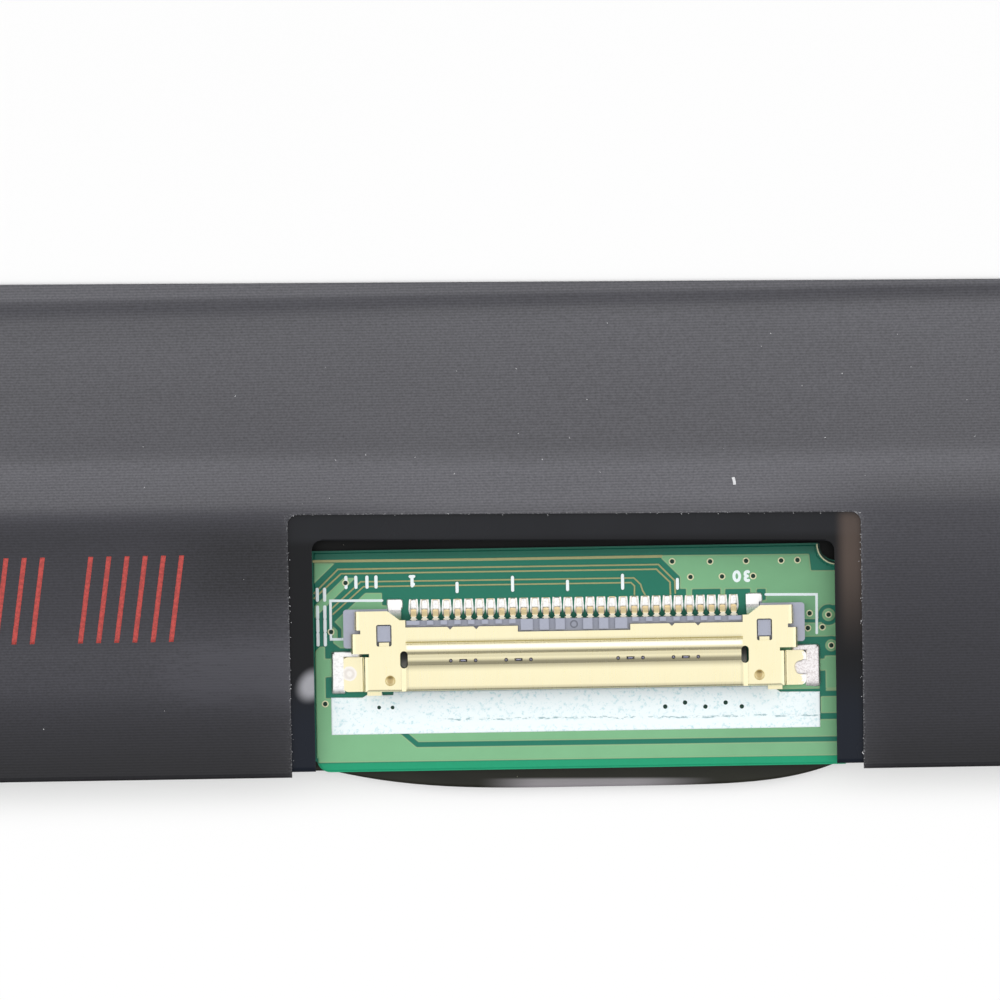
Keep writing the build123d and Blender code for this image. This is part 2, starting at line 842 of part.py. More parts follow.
# Chips and small parts soldered to the board's rear
def chip_plane(x):
    """Plane on the board's rear at the upper edge of the chip row."""
    return Plane(origin=(x, board_top - chip_edge, board_rear))


with BuildPart() as timing_controller:
    with BuildSketch(chip_plane(connector_x - timing_from_socket)):
        rectangle_between(-timing_side / 2, timing_side / 2, -timing_side, 0)
    extrude(amount=chip_height)
    chamfer(timing_controller.edges().group_by(Axis.Z)[-1], chip_chamfer)

with BuildPart() as memory_chip:
    with BuildSketch(chip_plane(connector_x - memory_from_socket)):
        rectangle_between(-memory_width / 2, memory_width / 2, -memory_depth, 0)
    extrude(amount=memory_height)
    chamfer(memory_chip.edges().group_by(Axis.Z)[-1], chip_chamfer)

with BuildPart() as power_converter:
    with BuildSketch(chip_plane(converter_from_end - board_half)):
        rectangle_between(-converter_side / 2, converter_side / 2, -converter_side, 0)
    extrude(amount=chip_height)
    chamfer(power_converter.edges().group_by(Axis.Z)[-1], chip_chamfer)

with BuildPart() as led_driver:
    with BuildSketch(chip_plane(led_driver_from_end - board_half)):
        rectangle_between(-led_driver_side / 2, led_driver_side / 2, -led_driver_side, 0)
    extrude(amount=chip_height)
    chamfer(led_driver.edges().group_by(Axis.Z)[-1], chip_chamfer)

with BuildPart() as power_inductors:
    with BuildSketch(chip_plane(inductor_from_end - board_half)):
        with Locations((0, -inductor_side / 2)):
            with GridLocations(inductor_pitch, 1, inductor_count, 1):
                RectangleRounded(inductor_side, inductor_side, inductor_corner)
    extrude(amount=inductor_height)

with BuildPart() as ceramic_capacitors:
    for middle in (capacitor_bank_from_end - board_half, connector_x + capacitor_bank_from_socket):
        with BuildSketch(chip_plane(middle)):
            with Locations((0, -capacitor_width / 2)):
                with GridLocations(capacitor_pitch, 1, capacitors_per_bank, 1):
                    Rectangle(capacitor_length, capacitor_width)
        extrude(amount=capacitor_height)
    chamfer(ceramic_capacitors.edges().group_by(Axis.Z)[-1], capacitor_round)

with BuildPart() as chip_resistors:
    for middle in (resistor_bank_from_end - board_half, connector_x + resistor_bank_from_socket):
        with BuildSketch(chip_plane(middle)):
            with Locations((0, -resistor_row)):
                with GridLocations(resistor_pitch, 1, resistors_per_bank, 1):
                    Rectangle(resistor_length, resistor_width)
        extrude(amount=resistor_height)

with BuildPart() as backlight_socket:
    with BuildSketch(Plane(origin=(tail_x, backlight_top, board_rear))):
        rectangle_between(-backlight_width / 2, backlight_width / 2, -backlight_depth, 0)
    extrude(amount=backlight_height)
    with BuildSketch(Plane(origin=(tail_x, backlight_top, tail_level - tail_slot_gap))):
        slot_half = flex_tail_width / 2 + tail_slot_gap
        rectangle_between(-slot_half, slot_half, -tail_insert - tail_slot_gap, 0)
    extrude(amount=flex_thick + 2 * tail_slot_gap, mode=Mode.SUBTRACT)

# Source films that join the array glass to the board, each with a driver chip on its rear
source_films = []
driver_chips = []
source_film_top = array_low + bond_overlap
source_film_low = board_top - board_overlap
driver_low = (body_low + board_top - driver_depth) / 2

source_film_reach = board_half - source_film_end_margin - source_film_width / 2
source_film_pitch = 2 * source_film_reach / (source_film_count - 1)

for index in range(source_film_count):
    film_x = index * source_film_pitch - source_film_reach
    with BuildPart() as source_film:
        with BuildSketch(Plane(origin=(film_x, 0, source_film_front))):
            rectangle_between(-source_film_width / 2, source_film_width / 2, source_film_low, source_film_top)
        extrude(amount=source_film_thick)
    source_films.append(source_film)
    with BuildPart() as driver_chip:
        with BuildSketch(Plane(origin=(film_x, 0, array_front))):
            rectangle_between(-driver_length / 2, driver_length / 2, driver_low, driver_low + driver_depth)
        extrude(amount=driver_thick)
    driver_chips.append(driver_chip)

# Section of the rear tape: over the reflector's edge, down on the flex, up on the ridge and down to the board
tape_end = reflector_low + board_height
tape_level = ridge_rear + film_thick
chip_level = board_rear + chip_height + chip_room + film_thick
board_fall = (
    (body_low - ridge_lead, tape_level),
    (board_low + fall_upper, chip_level + fall_drop),
    (board_low + fall_lower, chip_level),
    (board_low - tape_bulge, board_rear + edge_height),
)
tape_section = (
    (tape_end, reflector_rear),
    (reflector_low - step_lead, reflector_rear),
    (reflector_low - step_lead - step_run, flex_rear),
    (bay_low + ridge_run + film_thick, flex_rear),
    (bay_low + film_thick, tape_level),
) + board_fall
film_top = bay_low - film_setback
film_section = ((film_top, tape_level),) + board_fall
fall_radii = (3.0, 20.0, 10.0)
step_radii = (0.3, 0.3, 0.2, 0.1)


def drape(section, radii, thick):
    """Outline of a sheet laid along a section, with its other face the thickness away."""
    lower = FilletPolyline(*section, radius=radii)
    upper = FilletPolyline(*[(y, z + thick) for y, z in section], radius=radii)
    Line(lower @ 0, upper @ 0)
    Line(lower @ 1, upper @ 1)


def skewed(level, across, skew):
    """Height of a line that slopes down to the right through the socket's middle."""
    return level - across * math.tan(math.radians(skew))


def notched_outline(half, low, top, skew, notch, notch_skew):
    """A strip with a skewed upper edge and a notch for the socket, open at the lower edge."""
    left, right, notch_top = notch
    Polyline(
        (-half, low),
        (connector_x - left, low),
        (connector_x - left, skewed(notch_top, -left, notch_skew)),
        (connector_x + right, skewed(notch_top, right, notch_skew)),
        (connector_x + right, low),
        (half, low),
        (half, skewed(top, half - connector_x, skew)),
        (-half, skewed(top, -half - connector_x, skew)),
        close=True,
    )


def notch_corners(sketch):
    """The two inner corners of a notch: the highest points near the socket."""
    reach = 2 * tab_half
    near = sketch.vertices().filter_by_position(Axis.X, connector_x - reach, connector_x + reach)
    return near.sort_by(Axis.Y)[-2:]


film_notch = (cover_half + film_notch_left, cover_half + film_notch_right, board_top + film_notch_above)
tape_notch = (
    cover_half + tape_notch_left,
    cover_half + tape_notch_right,
    film_notch[2] + tape_notch_above,
)

with BuildPart() as insulating_film:
    with BuildSketch(Plane.YZ):
        with BuildLine():
            drape(film_section, fall_radii, -film_thick)
        make_face()
    extrude(amount=film_half, both=True)
    with BuildSketch() as film_outline:
        with BuildLine():
            notched_outline(film_half, board_low + film_rise, film_top, 0, film_notch, film_skew)
        make_face()
        fillet(notch_corners(film_outline), notch_corner)
    extrude(amount=2 * tape_level, mode=Mode.INTERSECT)

with BuildPart() as rear_cover_tape:
    with BuildSketch(Plane.YZ):
        with BuildLine():
            drape(tape_section, step_radii + fall_radii, tape_thick)
        make_face()
    extrude(amount=tape_half, both=True)
    with BuildSketch() as tape_outline:
        with BuildLine():
            tape_top = reflector_low + tape_overlap
            notched_outline(tape_half, board_low - tape_hang, tape_top, tape_skew, tape_notch, tape_skew)
        make_face()
        fillet(notch_corners(tape_outline), notch_corner)
    extrude(amount=2 * tape_level, mode=Mode.INTERSECT)

# Front tape: a band over the glass ledge, a flap over the board, and a bow past the board's edge
with BuildPart() as front_cover_tape:
    with BuildSketch(Plane.XY.offset(source_film_front - front_tape_thick)):
        band_half = body_half - front_tape_side_gap
        band_top = colour_low - front_tape_ledge_gap
        flap_low = board_low + front_tape_setback
        rectangle_between(-band_half, band_half, band_top - front_band_height, band_top)
        rectangle_between(-front_tape_half, front_tape_half, flap_low, band_top)
        with BuildLine():
            left_end = connector_x - cover_half - bow_left
            right_end = connector_x + cover_half + bow_right
            middle = connector_x + bow_middle
            bow_low = board_low - tape_bulge
            Bezier(
                (left_end, flap_low),
                (left_end + bow_left_entry, board_low - bow_left_depth),
                (middle - bow_left_flat, bow_low),
                (middle, bow_low),
            )
            Bezier(
                (middle, bow_low),
                (middle + bow_right_flat, bow_low),
                (right_end - bow_right_entry, board_low - bow_right_depth),
                (right_end, flap_low),
            )
            Line((right_end, flap_low), (left_end, flap_low))
        make_face()
    extrude(amount=front_tape_thick)

# Every piece under its own name
pieces = {
    "front_polariser": front_polariser,
    "colour_filter_glass": colour_filter_glass,
    "array_glass": array_glass,
    "rear_polariser": rear_polariser,
    "rim_tape": rim_tape,
    "prism_sheet_upper": prism_sheet_upper,
    "prism_sheet_lower": prism_sheet_lower,
    "diffuser_sheet": diffuser_sheet,
    "light_guide_plate": light_guide_plate,
    "leds": leds,
    "led_flex": led_flex,
    "reflector_sheet": reflector_sheet,
    "reflector_adhesive": reflector_adhesive,
    "mould_frame": mould_frame,
    "circuit_board": circuit_board,
    "connector_shell": connector_shell,
    "connector_housing": connector_housing,
    "connector_contacts": connector_contacts,
    "timing_controller": timing_controller,
    "power_converter": power_converter,
    "led_driver": led_driver,
    "memory_chip": memory_chip,
    "power_inductors": power_inductors,
    "ceramic_capacitors": ceramic_capacitors,
    "chip_resistors": chip_resistors,
    "backlight_socket": backlight_socket,
    "insulating_film": insulating_film,
    "rear_cover_tape": rear_cover_tape,
    "front_cover_tape": front_cover_tape,
}
for index in range(source_film_count):
    pieces[f"source_film_{index + 1}"] = source_films[index]
    pieces[f"driver_chip_{index + 1}"] = driver_chips[index]

os.makedirs("parts", exist_ok=True)
for name, piece in pieces.items():
    piece.part.label = name
    export_step(piece.part, f"parts/{name}.step")
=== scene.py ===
"""Finishes and fine surfaces of a rear-taped laptop screen panel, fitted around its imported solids."""

import math

import bpy
import numpy as np
from bpy.props import FloatProperty, FloatVectorProperty, IntProperty, PointerProperty
from bpy.types import Operator, Panel, PropertyGroup
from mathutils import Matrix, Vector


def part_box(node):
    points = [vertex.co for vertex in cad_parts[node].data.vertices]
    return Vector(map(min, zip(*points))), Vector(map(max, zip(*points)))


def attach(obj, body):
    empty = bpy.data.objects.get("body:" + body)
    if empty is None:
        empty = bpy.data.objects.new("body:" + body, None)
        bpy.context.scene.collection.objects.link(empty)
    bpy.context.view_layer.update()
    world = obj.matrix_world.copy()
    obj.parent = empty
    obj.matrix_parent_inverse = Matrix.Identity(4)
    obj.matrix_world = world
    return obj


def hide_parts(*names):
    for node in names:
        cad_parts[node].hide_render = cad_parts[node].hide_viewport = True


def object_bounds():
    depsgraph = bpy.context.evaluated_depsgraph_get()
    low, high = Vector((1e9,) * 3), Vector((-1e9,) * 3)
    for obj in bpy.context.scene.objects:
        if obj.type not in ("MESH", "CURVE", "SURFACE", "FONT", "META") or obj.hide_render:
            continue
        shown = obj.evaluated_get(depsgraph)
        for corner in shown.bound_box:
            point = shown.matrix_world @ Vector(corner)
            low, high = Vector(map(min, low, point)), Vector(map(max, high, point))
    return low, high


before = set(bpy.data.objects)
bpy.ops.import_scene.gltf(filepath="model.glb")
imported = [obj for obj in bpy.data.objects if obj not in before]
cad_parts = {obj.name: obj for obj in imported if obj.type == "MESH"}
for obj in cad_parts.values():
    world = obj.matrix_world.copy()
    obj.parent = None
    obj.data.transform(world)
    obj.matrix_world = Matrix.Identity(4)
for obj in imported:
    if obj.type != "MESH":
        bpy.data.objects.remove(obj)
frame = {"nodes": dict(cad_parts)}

bl_info = {
    "name": "Screen Panel Finishes",
    "version": (1, 0, 0),
    "blender": (4, 5, 0),
    "location": "3D View > Sidebar > Screen Panel",
    "description": "Dresses a laptop screen panel with tape, film, board print, solder and studio light",
    "category": "Object",
}

MM = 0.001
CAD_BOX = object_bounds()
BODY = "root"

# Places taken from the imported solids, in metres
BOARD_LOW, BOARD_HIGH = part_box("circuit_board")
HOUSING_LOW, HOUSING_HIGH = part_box("connector_housing")
TAPE_LOW, TAPE_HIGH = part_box("rear_cover_tape")
FILM_LOW, FILM_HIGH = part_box("insulating_film")
FRONT_LOW, FRONT_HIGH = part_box("front_cover_tape")
SOCKET_X = (HOUSING_LOW.x + HOUSING_HIGH.x) / 2
BOARD_EDGE = BOARD_LOW.y
BOARD_FACE = BOARD_HIGH.z


def linear(red, green, blue):
    """Scene-linear colour of a display colour given from 0 to 255."""
    shares = np.array([red, green, blue]) / 255
    straight = np.where(shares <= 0.04045, shares / 12.92, ((shares + 0.055) / 1.055) ** 2.4)
    return tuple(float(part) for part in straight)


def length_property(title, words, size):
    """A length that the user can change, kept in metres; size is in millimetres."""
    return FloatProperty(name=title, description=words, default=size * MM, unit="LENGTH", precision=6)


def share_property(title, words, value):
    """A plain number that the user can change."""
    return FloatProperty(name=title, description=words, default=value, precision=4)


def colour_property(title, words, red, green, blue):
    """A colour that the user can change, given as a display colour from 0 to 255."""
    return FloatVectorProperty(
        name=title,
        description=words,
        default=linear(red, green, blue),
        subtype="COLOR",
        size=3,
        min=0,
        max=1,
    )


class ScreenPanelSizes(PropertyGroup):
    """Sizes of the pieces that are laid over the solids."""

    tape_skew: FloatProperty(
        name="Tape skew",
        description="How far the tape lies askew on the panel",
        default=math.radians(0.60),
        subtype="ANGLE",
    )
    film_skew: FloatProperty(
        name="Film skew",
        description="How far the film's notch lies askew",
        default=math.radians(0.95),
        subtype="ANGLE",
    )
    notch_corner: length_property("Notch corner", "Corner radius of the notches", 0.45)
    tape_thickness: length_property("Tape thickness", "Thickness of the cover tape", 0.12)
    film_thickness: length_property("Film thickness", "Thickness of the insulating film", 0.06)
    copper_height: length_property("Copper height", "How far coated copper stands proud", 0.03)
    print_height: length_property("Print height", "Thickness of the white board print", 0.012)
    crescent_depth: length_property("Front tape bow", "How far the front tape bows past the board", 0.92)
    lint_count: IntProperty(name="Lint", description="Number of loose fibres", default=90, min=1)


class ScreenPanelColours(PropertyGroup):
    """Colours of the finishes."""

    # Pale colour of the painted glint along the notch's frayed edge, and of the lint on the tape
    tape_glint_and_lint: colour_property("Tape edge", "Frayed cut edge of the tape", 205, 205, 208)
    film: colour_property("Inner film", "Smooth black film", 36, 37, 41)
    marks: colour_property("Red marks", "Printed alignment bars", 186, 66, 60)
    mask: colour_property("Solder mask", "Green coating over bare laminate", 26, 120, 97)
    mask_margin: colour_property("Board margin", "Coating along the board's lower edge", 14, 156, 112)
    mask_copper: colour_property("Mask on copper", "Green coating over copper", 127, 185, 138)
    copper_edge: colour_property("Copper edge", "Thin coating along copper edges", 205, 195, 145)
    print: colour_property("Board print", "White board print", 240, 250, 252)
    gold: colour_property("Gold plate", "Gold plating of the socket", 241, 234, 200)
    solder: colour_property("Solder", "Tinned joints", 244, 243, 242)
    housing: colour_property("Housing", "Grey socket plastic", 166, 170, 186)
    reflector: colour_property("Reflector", "White rear sheet", 240, 240, 240)
    frame: colour_property("Frame", "Dark moulded frame", 12, 12, 13)


class ScreenPanelLight(PropertyGroup):
    """Light, floor and camera."""

    level: share_property("Light level", "Brightness of the white dome", 1.16)
    dusk: share_property("Dusk", "Share of light left low down before the panel's lower edge", 0.30)
    side: share_property("Side light", "How much brighter the dome is at both sides", 0.35)
    floor: colour_property("Floor", "Pale floor", 250, 250, 250)
    floor_near: share_property("Floor lift, near", "How far the floor is white beside the panel", 0.34)
    floor_far: share_property("Floor lift, far", "How far the floor is white away from the panel", 0.98)
    shadow_reach: length_property("Shadow reach", "Distance over which the floor goes white", 1.9)
    view_width: length_property("View width", "Width that the picture shows at the board", 45.31)
    lens: FloatProperty(name="Lens", description="Focal length in millimetres", default=250)
    roll: FloatProperty(
        name="Roll",
        description="Turn of the camera about its view axis",
        default=math.radians(-0.945),
        subtype="ANGLE",
    )
    aim_across: length_property("Aim across", "Picture centre from the socket's middle", -3.25)
    aim_up: length_property("Aim up", "Picture centre from the board's lower edge", 12.21)


def sizes():
    """The sizes that the user has set."""
    return bpy.context.scene.screen_panel_sizes


def colours():
    """The colours that the user has set."""
    return bpy.context.scene.screen_panel_colours


# Shader maths


class Value:
    """A shader socket that Python's operators can combine; each operator adds one Math node."""

    def __init__(self, finish, socket):
        self.finish = finish
        self.socket = socket

    def math(self, operation, *others):
        return self.finish.maths(operation, self, *others)

    def __add__(self, other):
        return self.math("ADD", other)

    __radd__ = __add__

    def __mul__(self, other):
        return self.math("MULTIPLY", other)

    __rmul__ = __mul__

    def __sub__(self, other):
        return self.math("SUBTRACT", other)

    def __rsub__(self, other):
        return self.finish.maths("SUBTRACT", other, self)

    def __truediv__(self, other):
        return self.math("DIVIDE", other)

    def __lt__(self, other):
        return self.math("LESS_THAN", other)

    def __abs__(self):
        return self.math("ABSOLUTE")

    def at_most(self, other):
        return self.math("MINIMUM", other)

    def at_least(self, other):
        return self.math("MAXIMUM", other)

    def step(self, low, high):
        """Smooth rise from 0 at low to 1 at high; low may lie above high."""
        sockets = {"Value": self, "From Min": low, "From Max": high}
        return self.finish.node("ShaderNodeMapRange", {"interpolation_type": "SMOOTHSTEP"}, sockets)

    def band(self, foot, crest, end, fade):
        """1 between crest and end, with a smooth rise from foot and a smooth fall to fade."""
        return self.step(foot, crest) * self.step(fade, end)


class Finish:
    """The nodes of one material or of the world."""

    def __init__(self, owner):
        owner.use_nodes = True
        self.tree = owner.node_tree
        self.tree.nodes.clear()

    def node(self, kind, settings=None, sockets=None, output=0):
        """Adds a node: its settings first, then its sockets by name or number, as numbers or links."""
        made = self.tree.nodes.new(kind)
        for key, value in (settings or {}).items():
            setattr(made, key, value)
        for key, value in (sockets or {}).items():
            if isinstance(value, Value):
                self.tree.links.new(value.socket, made.inputs[key])
            else:
                made.inputs[key].default_value = value
        return Value(self, made.outputs[output]) if made.outputs else None

    def maths(self, operation, *values):
        return self.node("ShaderNodeMath", {"operation": operation}, dict(enumerate(values)))

    def place(self):
        """Object coordinates in millimetres."""
        metres = self.node("ShaderNodeTexCoord", output="Object")
        settings = {"operation": "SCALE"}
        return self.node("ShaderNodeVectorMath", settings, {0: metres, "Scale": 1 / MM})

    def part(self, vector, letter):
        """One coordinate of a vector."""
        return self.node("ShaderNodeSeparateXYZ", None, {0: vector}, letter)

    def stretched(self, vector, scale, turn=0.0):
        """A vector turned about Z and scaled along each axis."""
        sockets = {"Vector": vector, "Rotation": (0, 0, turn), "Scale": scale}
        return self.node("ShaderNodeMapping", None, sockets)

    def noise(self, vector, scale, detail=2.0, roughness=0.5):
        sockets = {"Vector": vector, "Scale": scale, "Detail": detail, "Roughness": roughness}
        return self.node("ShaderNodeTexNoise", None, sockets)

    def specks(self, vector, scale, radius, share):
        """1 inside small round specks, kept in the given share of the cells of a Voronoi pattern."""
        sockets = {"Vector": vector, "Scale": scale}
        distance = self.node("ShaderNodeTexVoronoi", None, sockets, "Distance")
        colour = self.node("ShaderNodeTexVoronoi", None, sockets, "Color")
        chance = self.part(colour, "X")
        spread = self.part(colour, "Y")
        return (distance < radius * (0.4 + spread)) * (chance < share)

    def ripple(self, vector, pitch, wander):
        """A sine wave along Y with the given pitch in millimetres, bent by a slow noise."""
        sockets = {"Vector": vector, "Scale": math.tau / 20 / pitch, "Distortion": wander}
        settings = {"wave_type": "BANDS", "bands_direction": "Y", "wave_profile": "SIN"}
        sockets.update({"Detail": 2.0, "Detail Scale": 0.35})
        return self.node("ShaderNodeTexWave", settings, sockets)

    def distance(self, beside, above):
        """Length of the vector (beside, above)."""
        return self.maths("SQRT", beside * beside + above * above)

    def attribute(self, name):
        return self.node("ShaderNodeAttribute", {"attribute_name": name}, None, "Fac")

    def mix(self, factor, first, second):
        """Colour that goes from first to second with the factor."""
        sockets = {0: factor, 6: self.colour(first), 7: self.colour(second)}
        return self.node("ShaderNodeMix", {"data_type": "RGBA"}, sockets, 2)

    @staticmethod
    def colour(value):
        return value if isinstance(value, Value) else (*value, 1.0)

    def bump(self, height, depth, strength=1.0, normal=None):
        """A normal from a height field; depth is in millimetres for a height of 1."""
        sockets = {"Height": height, "Distance": depth * MM, "Strength": strength}
        if normal is not None:
            sockets["Normal"] = normal
        return self.node("ShaderNodeBump", None, sockets)

    def ramp(self, value, stops, colour):
        """Colour from rising (place, tone) stops with straight lines between them.

        The function colour turns a tone into a colour.
        """
        first, last = stops[0][0], stops[-1][0]
        made = self.tree.nodes.new("ShaderNodeValToRGB")
        points = made.color_ramp.elements
        for place, _ in stops[1:-1]:
            points.new((place - first) / (last - first))
        for point, (_, tone) in zip(points, stops):
            point.color = (*colour(tone), 1.0)
        share = (value - first) / (last - first)
        self.tree.links.new(share.socket, made.inputs["Fac"])
        return Value(self, made.outputs["Color"])

    def shader(self, base, **inputs):
        """The Principled shader; keyword names are socket names with underscores for spaces."""
        sockets = {name.replace("_", " "): value for name, value in inputs.items()}
        sockets["Base Color"] = self.colour(base)
        return self.node("ShaderNodeBsdfPrincipled", None, sockets)

    def output(self, shader):
        self.node("ShaderNodeOutputMaterial", None, {"Surface": shader})

    def surface(self, base, **inputs):
        """A Principled shader as the whole surface."""
        self.output(self.shader(base, **inputs))


def material(name, build, *values):
    """The material of that name, made by its build function at the first call."""
    found = bpy.data.materials.get(name)
    if found is None:
        found = bpy.data.materials.new(name)
        build(Finish(found), *values)
    return found


# Finishes


def dimmed(shade, share):
    """A colour with the given share of its light."""
    return tuple(share * part for part in shade)


def socket_place(finish):
    """Distances in millimetres from the socket's middle and from the board's lower edge."""
    place = finish.place()
    across = finish.part(place, "X") - SOCKET_X / MM
    up = finish.part(place, "Y") - BOARD_EDGE / MM
    return place, across, up


# Display tones down the tape, by distance up from the board's lower edge in millimetres: left of the notch,
# above it and right of it. They paint sheen over the frame's ridge, shade and a highlight at the step near
# the upper edge, and shade on the slope to the board.
TAPE_LEFT = (
    (-0.6, 50), (0.4, 52), (2.0, 59), (3.0, 65), (4.0, 74), (5.5, 78), (7.0, 72), (9.0, 70), (10.8, 66),
    (11.4, 70), (11.75, 79), (12.0, 90), (12.3, 100), (13.0, 104), (13.7, 106), (14.1, 103),
    (14.35, 97), (14.7, 94), (17.0, 96), (19.5, 99), (20.5, 97), (20.8, 91), (21.1, 84), (21.4, 88),
    (21.65, 107), (22.2, 102),
)
TAPE_MIDDLE = (
    (11.4, 98), (11.9, 104), (12.2, 109), (13.6, 109), (14.1, 101), (14.6, 96), (18.0, 100),
    (20.4, 101), (20.8, 97), (21.1, 87), (21.4, 85), (21.65, 103), (22.2, 97),
)
TAPE_RIGHT = (
    (-0.6, 50), (0.4, 52), (2.0, 61), (5.0, 65), (8.0, 71), (10.0, 77), (11.4, 81), (11.8, 86),
    (12.1, 92), (12.8, 100), (13.4, 106), (13.9, 105), (14.35, 99), (14.8, 98), (18.0, 101),
    (20.4, 104), (20.8, 101), (21.1, 90), (21.45, 81), (21.75, 104), (22.2, 100),
)
TAPE_SPECULAR = 0.35
TAPE_GAIN = 1.09
# Share of a white dome that a surface with full specular level mirrors, and the least base level
MIRRORED_WHITE = 0.06
LEAST_BASE = 0.002
# Tone below which the tape is dark in its painted shade, the span to fully dark, and how much darker and
# bluer it is there
DARK_TONE = 96
DARK_SPAN = 36
DARK_LOSS = 0.13
DARK_BLUE = 0.18
TAPE_TINT = (0.985, 0.975, 1.09)
# Ribs of the tape: pitch and depth in millimetres, and how far they wander
RIB_PITCH = 0.125
RIB_DEPTH = 0.010
RIB_WANDER = 0.9


def tape_base(tone):
    """Base colour, times the gain, that renders as a display tone: the linear tone less mirrored white.

    The dark tones are a little darker and lean a little more to blue.
    """
    mirrored = MIRRORED_WHITE * TAPE_SPECULAR
    dark = min(max((DARK_TONE - tone) / DARK_SPAN, 0), 1)
    plain = max(linear(tone, tone, tone)[0] - mirrored, LEAST_BASE)
    level = plain * TAPE_GAIN * (1 - DARK_LOSS * dark)
    red, green, blue = TAPE_TINT
    return red * level, green * level, (blue + DARK_BLUE * dark) * level


def tape_finish(finish):
    """Black tape with ribs along X, with painted sheen over the frame's ridge and painted shade on the
    slope to the board.

    Beside the notch it has painted shade above and paler streaks below, and a painted glint on the notch's
    frayed edge.
    """
    place, across, up = socket_place(finish)
    ribs = finish.ripple(place, RIB_PITCH, RIB_WANDER)
    grain = finish.noise(place, 9.0, 3.0, 0.6)
    cloud = finish.noise(finish.stretched(place, (0.10, 0.45, 1.0)), 1.0, 3.0)
    tables = (TAPE_LEFT, TAPE_MIDDLE, TAPE_RIGHT)
    # The tone tables paint sheen over the frame's ridge, shade and a highlight at the step near the upper
    # edge, and shade on the slope to the board.
    left, middle, right = (finish.ramp(up, stops, tape_base) for stops in tables)
    upper = finish.mix(across.step(-15.0, -4.0), left, middle)
    body = finish.mix(across.step(7.0, 15.0), upper, right)
    beside = across.band(-20.0, -15.0, -13.0, -12.0)
    # Beside the notch's left side: painted shade above, paler streaks below.
    painted_shade = beside * up.band(6.4, 9.0, 10.0, 11.6)
    paler_streaks = beside * up.band(2.2, 4.2, 4.8, 6.6)
    texture = 0.14 * (cloud - 0.5) + 0.82 * (grain - 0.5) + 0.20 * (ribs - 0.5)
    streak_mask = finish.noise(finish.stretched(place, (0.9, 5.0, 1.0)), 1.0, 4.0, 0.7).step(0.42, 0.66)
    tone = 0.79 + texture - 0.36 * painted_shade + paler_streaks * (0.22 + 0.75 * streak_mask)
    body = finish.mix(tone, (0, 0, 0), body)
    # A painted glint on the frayed threads along the notch's cut edge, pale like the lint.
    fray = finish.attribute("fray")
    threads = finish.noise(place, 14.0, 2.0, 0.7)
    frayed_edge_glint = fray * threads.step(0.50, 0.68) * 0.45
    lint = finish.specks(place, 1.1, 0.022, 0.20)
    base = finish.mix(frayed_edge_glint.at_least(0.7 * lint), body, colours().tape_glint_and_lint)
    relief = finish.bump(ribs, RIB_DEPTH, 0.55)
    relief = finish.bump(grain, 0.012, 0.5, relief)
    finish.surface(base, Roughness=0.40 + 0.14 * grain, Normal=relief, Specular_IOR_Level=TAPE_SPECULAR)


def marks_finish(finish):
    """Red ink that lets the ribs of the tape show through."""
    place = finish.place()
    ribs = finish.ripple(place, RIB_PITCH, RIB_WANDER)
    wear = finish.noise(place, 7.0, 3.0, 0.65)
    base = finish.mix(wear.step(0.42, 0.58), dimmed(colours().marks, 0.72), colours().marks)
    finish.surface(base, Roughness=0.5 + 0.15 * wear, Normal=finish.bump(ribs, RIB_DEPTH, 0.5))


# A soft painted glare, a painted reflection on the film left of the board: middle and reach, across and up,
# and how far it leans
GLARE_MIDDLE = (-11.90, 3.98)
GLARE_REACH = (0.85, 0.90)
GLARE_LEAN = 0.25


def film_finish(finish):
    """Smooth black film with faint smears and dust, darker below the notch's head and bluish low down, a
    painted glare on the left and a warm painted glare on the right.
    """
    place, across, up = socket_place(finish)
    smear = finish.noise(finish.stretched(place, (0.5, 0.25, 1.0), 0.4), 1.0, 3.0)
    dust = finish.specks(place, 1.6, 0.024, 0.22)
    head = up.step(10.2, 10.7)
    dull = finish.mix(smear, dimmed(colours().film, 0.7), colours().film)
    side = finish.mix(up.step(5.0, 2.0), dimmed(colours().film, 0.36), linear(22, 27, 37))
    tone = finish.mix(head, side, dull)
    # A painted glare on the left.
    shift = across - GLARE_MIDDLE[0]
    climb = up - GLARE_MIDDLE[1] - GLARE_LEAN * shift
    painted_glare = finish.distance(shift / GLARE_REACH[0], climb / GLARE_REACH[1]).step(1.0, 0.30)
    tone = finish.mix(painted_glare * 0.80, tone, linear(168, 168, 174))
    # A warm painted glare on the right.
    warm_glare = up.band(4.6, 9.6, 11.0, 12.0) * across.step(11.75, 12.4)
    tone = finish.mix(warm_glare * 0.62, tone, linear(98, 84, 76))
    base = finish.mix(dust, tone, linear(150, 150, 154))
    finish.surface(base, Roughness=0.16 + 0.20 * smear, Specular_IOR_Level=0.16)


def front_tape_finish(finish):
    """Thin glossy black tape with dust, painted shade where it shows deep above the board and a dull
    painted reflection in its bow.
    """
    place, across, up = socket_place(finish)
    smear = finish.noise(finish.stretched(place, (0.3, 1.4, 1.0), 0.1), 1.0, 3.0)
    dust = finish.specks(place, 1.8, 0.035, 0.40)
    tone = finish.mix(smear, linear(22, 22, 16), linear(46, 46, 38))
    # Painted shade where the tape shows deep in the gap above the board.
    tone = finish.mix(up.step(9.0, 9.8), tone, linear(4, 6, 8))
    # A dull painted reflection in the bow.
    bow_reflection = across.band(-4.6, -1.5, 2.4, 6.6) * (up + 0.012 * across).step(-0.42, -0.56)
    tone = finish.mix(bow_reflection * 0.9, tone, linear(150, 146, 150))
    base = finish.mix(dust, tone, linear(160, 158, 140))
    finish.surface(base, Roughness=0.22 + 0.2 * smear, Specular_IOR_Level=0.2)


BOARD_SPECULAR = 0.30


